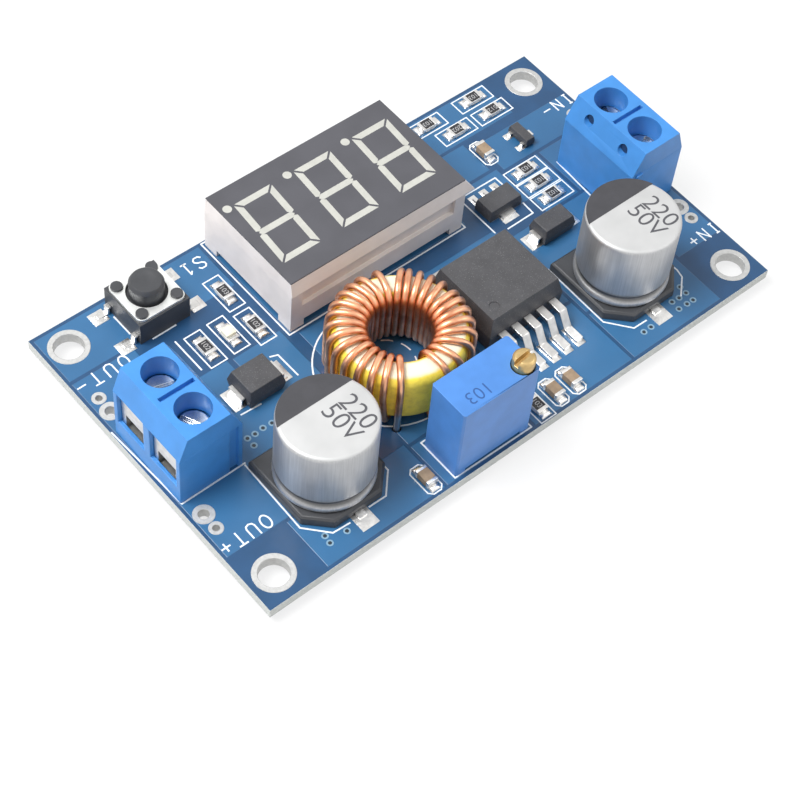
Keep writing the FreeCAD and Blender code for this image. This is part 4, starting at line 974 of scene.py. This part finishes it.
def makeChipSolder(chips, settings):
    # solder at both ends of each chip: its place, axis, fillet's width and seed
    bm = bmesh.new()
    spots = [(footOf(f"chip_resistor_{i:02d}"), along, settings["resistor"], i * 7)
             for i, along in enumerate(chips["resistors"], 1)]
    spots.append((footOf("indicator_lamp"), "y", settings["other"], 91))
    spots += [(part(x, y), "y", settings["other"], 101 + i * 3) for i, (x, y) in enumerate(ceramicPlaces)]
    reach, length, height = chips["length"] / 2 + settings["beyond"], settings["length"], settings["height"]
    for foot, along, width, seed in spots:
        x, y = foot.x / mm, foot.y / mm
        for way in (-1, 1):
            if along == "x":
                addSolder(bm, x + way * reach, y, length, width, height, seed + way)
            else:
                addSolder(bm, x, y + way * reach, width, length, height, seed + way)
    addPiece("chipSolder", bm, ["tin"], smooth=60.0, mend=False)


makeResistors(chipSettings)
makeCeramics(ceramicSettings)
makeIndicatorLamp(lampSettings)
makeChipSolder(chipSettings, filletSettings)
print("chip parts are done")

# inductor
coilSettings = {
    "bore": 3.85, "outer": 6.75, "round": 1.1, "wire": 0.36, "gap": 0.04,
    # how far a turn strays outward, and how far round it leans on its way below the core, in degrees
    "stray": 0.05, "lean": 2.0, "footLean": 1.4,
    # angle of each turn outside the core and in its bore
    "turns": [(-130, -132.9), (-143, -145.1), (-154, -157.3), (-166, -169.5), (-179, -181.7), (-192, -193.9),
              (-205, -206.1), (-218, -218.3), (-229, -230.5), (-240, -242.7), (-252, -254.9), (-262, -267.1),
              (-273, -279.3), (-289, -291.5), (-311, -303.7), (-317, -315.9), (-326, -328.1), (-336, -340.3),
              (-347, -352.4), (-360, -364.6), (-368, -376.8), (-378, -389.0), (-389, -401.2), (-401, -413.4),
              (-416, -425.6), (-435, -439.0), (-450, -454.0)],
    "lastLead": -460.0, "sides": 12, "cornerSteps": 5, "tail": -2.05,
}


def makeCore(settings):
    low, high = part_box("inductor_core")
    foot = footOf("inductor_core")
    base, top = low.z / mm, high.z / mm
    radius, inner, outer = settings["round"], settings["bore"], settings["outer"]
    profile = []
    for cx, cz, start in ((outer - radius, base + radius, -90), (outer - radius, top - radius, 0),
                          (inner + radius, top - radius, 90), (inner + radius, base + radius, 180)):
        profile += arcPoints(cx, cz, radius, start, start + 90, 6)
    bm = bmesh.new()
    addSpin(bm, profile + profile[:1], Vector((foot.x, foot.y, 0.0)), 96)
    addPiece("toroidCore", bm, ["corePaint"], ["inductor_core"], smooth=50.0)


def coilRoute(settings, low, top):
    # middle line of the wire: up outside, over, down the bore and out below to the next turn
    reach = settings["round"] + settings["wire"] + settings["gap"]
    outerC, innerC = settings["outer"] - settings["round"], settings["bore"] + settings["round"]
    lowC, topC = low + settings["round"], top - settings["round"]
    chance = random.Random(5)
    route = []

    def add(radius, angle, height):
        turn = math.radians(angle)
        route.append(Vector((radius * math.cos(turn), radius * math.sin(turn), height)))

    def lay(radius, begin, end, height):
        # seen from above, a turn lies straight between its angle outside and its angle in the bore
        add(radius, begin + (end - begin) * (outerC + reach - radius) / (outerC - innerC + 2 * reach), height)

    def bend(cx, cz, start, begin, end):
        for i in range(settings["cornerSteps"] + 1):
            turn = math.radians(start + 90 * i / settings["cornerSteps"])
            lay(cx + reach * math.cos(turn), begin, end, cz + reach * math.sin(turn))

    turns, last = settings["turns"], settings["lastLead"]
    add(outerC + reach, turns[0][0], settings["tail"])
    for i, (outside, inside) in enumerate(turns):
        if i:
            bend(outerC, lowC, -90, outside + settings["lean"], turns[i - 1][1])
            add(outerC + reach, outside + settings["footLean"], lowC + 0.8)
        add(outerC + reach + chance.uniform(0.0, settings["stray"]), outside, (low + top) / 2 + 0.6)
        bend(outerC, topC, 0, outside, inside)
        bend(innerC, topC, 90, outside, inside)
        leaving = turns[i + 1][0] + settings["lean"] if i + 1 < len(turns) else last
        bend(innerC, lowC, 180, leaving, inside)
    add(outerC + reach - 0.4, last, lowC - reach)
    add(outerC + reach, last, lowC - reach - 0.4)
    add(outerC + reach, last, settings["tail"])
    return route


def makeWinding(settings):
    low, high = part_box("inductor_core")
    route = coilRoute(settings, (low.z - boardTop) / mm, (high.z - boardTop) / mm)
    data = bpy.data.curves.new("coilLine", "CURVE")
    data.dimensions = "3D"
    data.bevel_depth = settings["wire"] * mm
    data.bevel_resolution = (settings["sides"] - 4) // 2
    data.use_fill_caps = True
    spline = data.splines.new("POLY")
    spline.points.add(len(route) - 1)
    foot = footOf("inductor_core")
    for point, spot in zip(spline.points, route):
        point.co = (*(foot + spot * mm), 1.0)
    addPiece("toroidWinding", openedCurve(data), ["enamelledCopper"], ["inductor_winding"], smooth=60.0)


makeCore(coilSettings)
makeWinding(coilSettings)
print("inductor is done")

# electrolytic capacitors, with heights above the board
canShape = {
    "radius": 4.95, "top": 10.0, "edge": 0.45, "seat": 1.2,
    # rolled foot: outer radius, how far it bulges and half its height
    "roll": 5.03, "bulge": 0.35, "rollHalf": 0.5,
    # neck above the roll: how far in from the side, and height above the seat
    "neck": [(0.28, 1.05), (0.33, 1.25), (0.26, 1.5), (0.08, 1.8), (0.0, 2.1)],
    # black sector from this far off the middle; words, their place along X and the names of their pieces
    "sector": 1.85, "margin": 0.12,
    "words": [("220", 2.50, "Value"), ("50V", 0.55, "Volts")], "wordSize": 2.75, "wordY": -1.25, "bold": -0.015,
}


def makeCan(name, node, settings):
    seat, radius, top, edge = (settings[key] for key in ("seat", "radius", "top", "edge"))
    bulge, half = settings["bulge"], settings["rollHalf"]
    inner = settings["roll"] - bulge
    body = [(0.0, seat), (inner, seat)]
    body += [(inner + bulge * math.sin(math.pi * i / 12), seat + half - half * math.cos(math.pi * i / 12))
             for i in range(1, 11)]
    body += [(radius - inset, seat + height) for inset, height in settings["neck"]] + [(radius, top - edge)]
    body += arcPoints(radius - edge, top - edge, edge, 0, 90, 6)[1:]
    body += [(radius * 0.5, top), (0.0, top)]
    bm = bmesh.new()
    addSpin(bm, body, footOf(node), 96)
    addPiece(name, bm, ["drawnAluminium"], [node], smooth=50.0)


def makeCanPrint(name, node, settings):
    # black sector at the negative side and plain numbers
    foot = footOf(node)
    limit = settings["radius"] - settings["margin"]
    half = math.degrees(math.acos(settings["sector"] / limit))
    bm = bmesh.new()
    points = arcPoints(0.0, 0.0, limit, 90 - half, 90 + half, 32)
    verts = [bm.verts.new(foot + Vector((x, y, settings["top"])) * mm) for x, y in points]
    made = bmesh.ops.extrude_face_region(bm, geom=[bm.faces.new(verts)])
    lifted = [item for item in made["geom"] if isinstance(item, bmesh.types.BMVert)]
    bmesh.ops.translate(bm, verts=lifted, vec=(0, 0, 0.012 * mm))
    addPiece(name + "Sector", bm, ["printBlack"])
    for words, x, suffix in settings["words"]:
        place = part(foot.x / mm + x, foot.y / mm + settings["wordY"], settings["top"] + 0.005)
        makeText(name + suffix, words, settings["wordSize"], Matrix.Translation(place) @ turned(-90.0),
                 "printGrey", settings["bold"])


for end in ends:
    makeCan(f"{end}Can", f"{end}_capacitor_can", canShape)
    makeCanPrint(f"{end}Can", f"{end}_capacitor_can", canShape)
print("capacitors are done")

# rounded copies of moulded pieces and metal: the CAD node, and the width of the rounding in millimetres
rounded = {
    "displayCase": ("display_shell", 0.048),
    "regulatorBody": ("regulator_body", 0.10),
    "regulatorLeads": ("regulator_leads", 0.07),
    "trimmerHousing": ("trimmer_housing", 0.12),
    "supplyBody": ("supply_regulator_body", 0.06),
    "transistorBody": ("transistor_body", 0.05),
    "buttonBase": ("button_base", 0.08),
    "buttonCover": ("button_cover", 0.06),
    "buttonLeads": ("button_leads", 0.04),
}
roundedEnds = {
    "DiodeBody": ("diode_body", 0.08),
    "DiodeLeads": ("diode_leads", 0.04),
    "TerminalBase": ("terminal_base", 0.09),
    "TerminalLid": ("terminal_lid", 0.09),
    "Cages": ("terminal_cages", 0.05),
    "CanBase": ("capacitor_base", 0.10),
}
for name, (node, width) in rounded.items():
    refine(name, node, width)
refine("trimmerScrew", "trimmer_screw", 0.06, "trimmer_adjuster")
for end in ends:
    for name, (node, width) in roundedEnds.items():
        refine(end + name, f"{end}_{node}", width)
    for sign in ("positive", "negative"):
        refine(f"{end}{sign.title()}Screw", f"{end}_{sign}_screw", 0.07, f"{end}_{sign}_clamp_screw")
print("rounded copies are done")

# marks on mouldings
markSettings = {
    "value": "103", "valueSize": 2.0, "valueBold": -0.02, "valuePlace": (2.85, 1.4),
    # dark discs of painted shade at the bottoms of the probe holes: depth from the lid's face, radius, thickness,
    # height and pole's place
    "probeDepth": 1.12, "probeRadius": 0.56, "probeSheet": 0.08, "probeHeight": 8.3, "pole": 2.54,
}


def makeMarks(settings):
    # value on the trimmer's top
    low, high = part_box("trimmer_housing")
    x, y = settings["valuePlace"]
    place = Matrix.Translation(Vector((low.x + x * mm, low.y + y * mm, high.z + 0.004 * mm)))
    makeText("trimmerValue", settings["value"], settings["valueSize"], place @ turned(180.0), "printBlue",
             settings["valueBold"])


def makeProbeHoleShade(settings):
    # dark discs in the holeShade finish, painted shade deep in each probe hole
    bm = bmesh.new()
    radius, sheet = settings["probeRadius"], settings["probeSheet"]
    upright = Matrix.Rotation(math.pi / 2, 3, "Y")
    for end, way in (("output", 1), ("input", -1)):
        low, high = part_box(f"{end}_terminal_lid")
        face = high.x if way > 0 else low.x
        for pole in (-1, 1):
            disc = bmesh.new()
            addSpin(disc, [(0.0, 0.0), (radius, 0.0), (radius, sheet), (0.0, sheet)], Vector((0, 0, 0)), 24)
            bmesh.ops.rotate(disc, verts=disc.verts, cent=(0, 0, 0), matrix=upright)
            bmesh.ops.translate(disc, verts=disc.verts, vec=(
                face - way * settings["probeDepth"] * mm,
                (low.y + high.y) / 2 + pole * settings["pole"] * mm,
                boardTop + settings["probeHeight"] * mm))
            pour(bm, disc)
    addPiece("probeHoleShadeDiscs", bm, ["holeShade"])


makeMarks(markSettings)
makeProbeHoleShade(markSettings)

# button: profile of the plunger as radius and height above the board, and the sprung dome below it
plungerSettings = {
    "profile": [(0.0, 1.67), (0.8, 1.67), (0.8, 2.3), (2.22, 2.3), (2.22, 2.86), (1.8, 2.86), (1.8, 4.58),
                (1.75, 4.64), (1.62, 4.92), (1.52, 5.0), (1.0, 5.0), (0.9, 4.97), (0.0, 4.97)],
}
domeSettings = {"radius": 1.95, "rise": 0.35, "sheet": 0.1, "travel": 0.25, "steps": 10}


def makePlunger(settings):
    bm = bmesh.new()
    addSpin(bm, settings["profile"], footOf("button_plunger"), 64)
    addPiece("buttonPlunger", bm, ["blackPlastic"], ["button_plunger"], "button", smooth=30.0)


def makeDome(settings):
    # sprung disc under the plunger, made as a domed sheet
    low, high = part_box("button_dome")
    middle = (low + high) / 2
    radius, rise, sheet, steps = (settings[key] for key in ("radius", "rise", "sheet", "steps"))
    under = [(radius * i / steps, rise * (1 - (i / steps) ** 2)) for i in range(steps + 1)]
    over = [(across, height + sheet) for across, height in reversed(under)]
    bm = bmesh.new()
    addSpin(bm, under + over, Vector((middle.x, middle.y, low.z)), 48)
    piece = addPiece("buttonDome", bm, ["coverMetal"], ["button_dome"], smooth=60.0)
    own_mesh(piece)


makePlunger(plungerSettings)
makeDome(domeSettings)
print("marks and button are done")
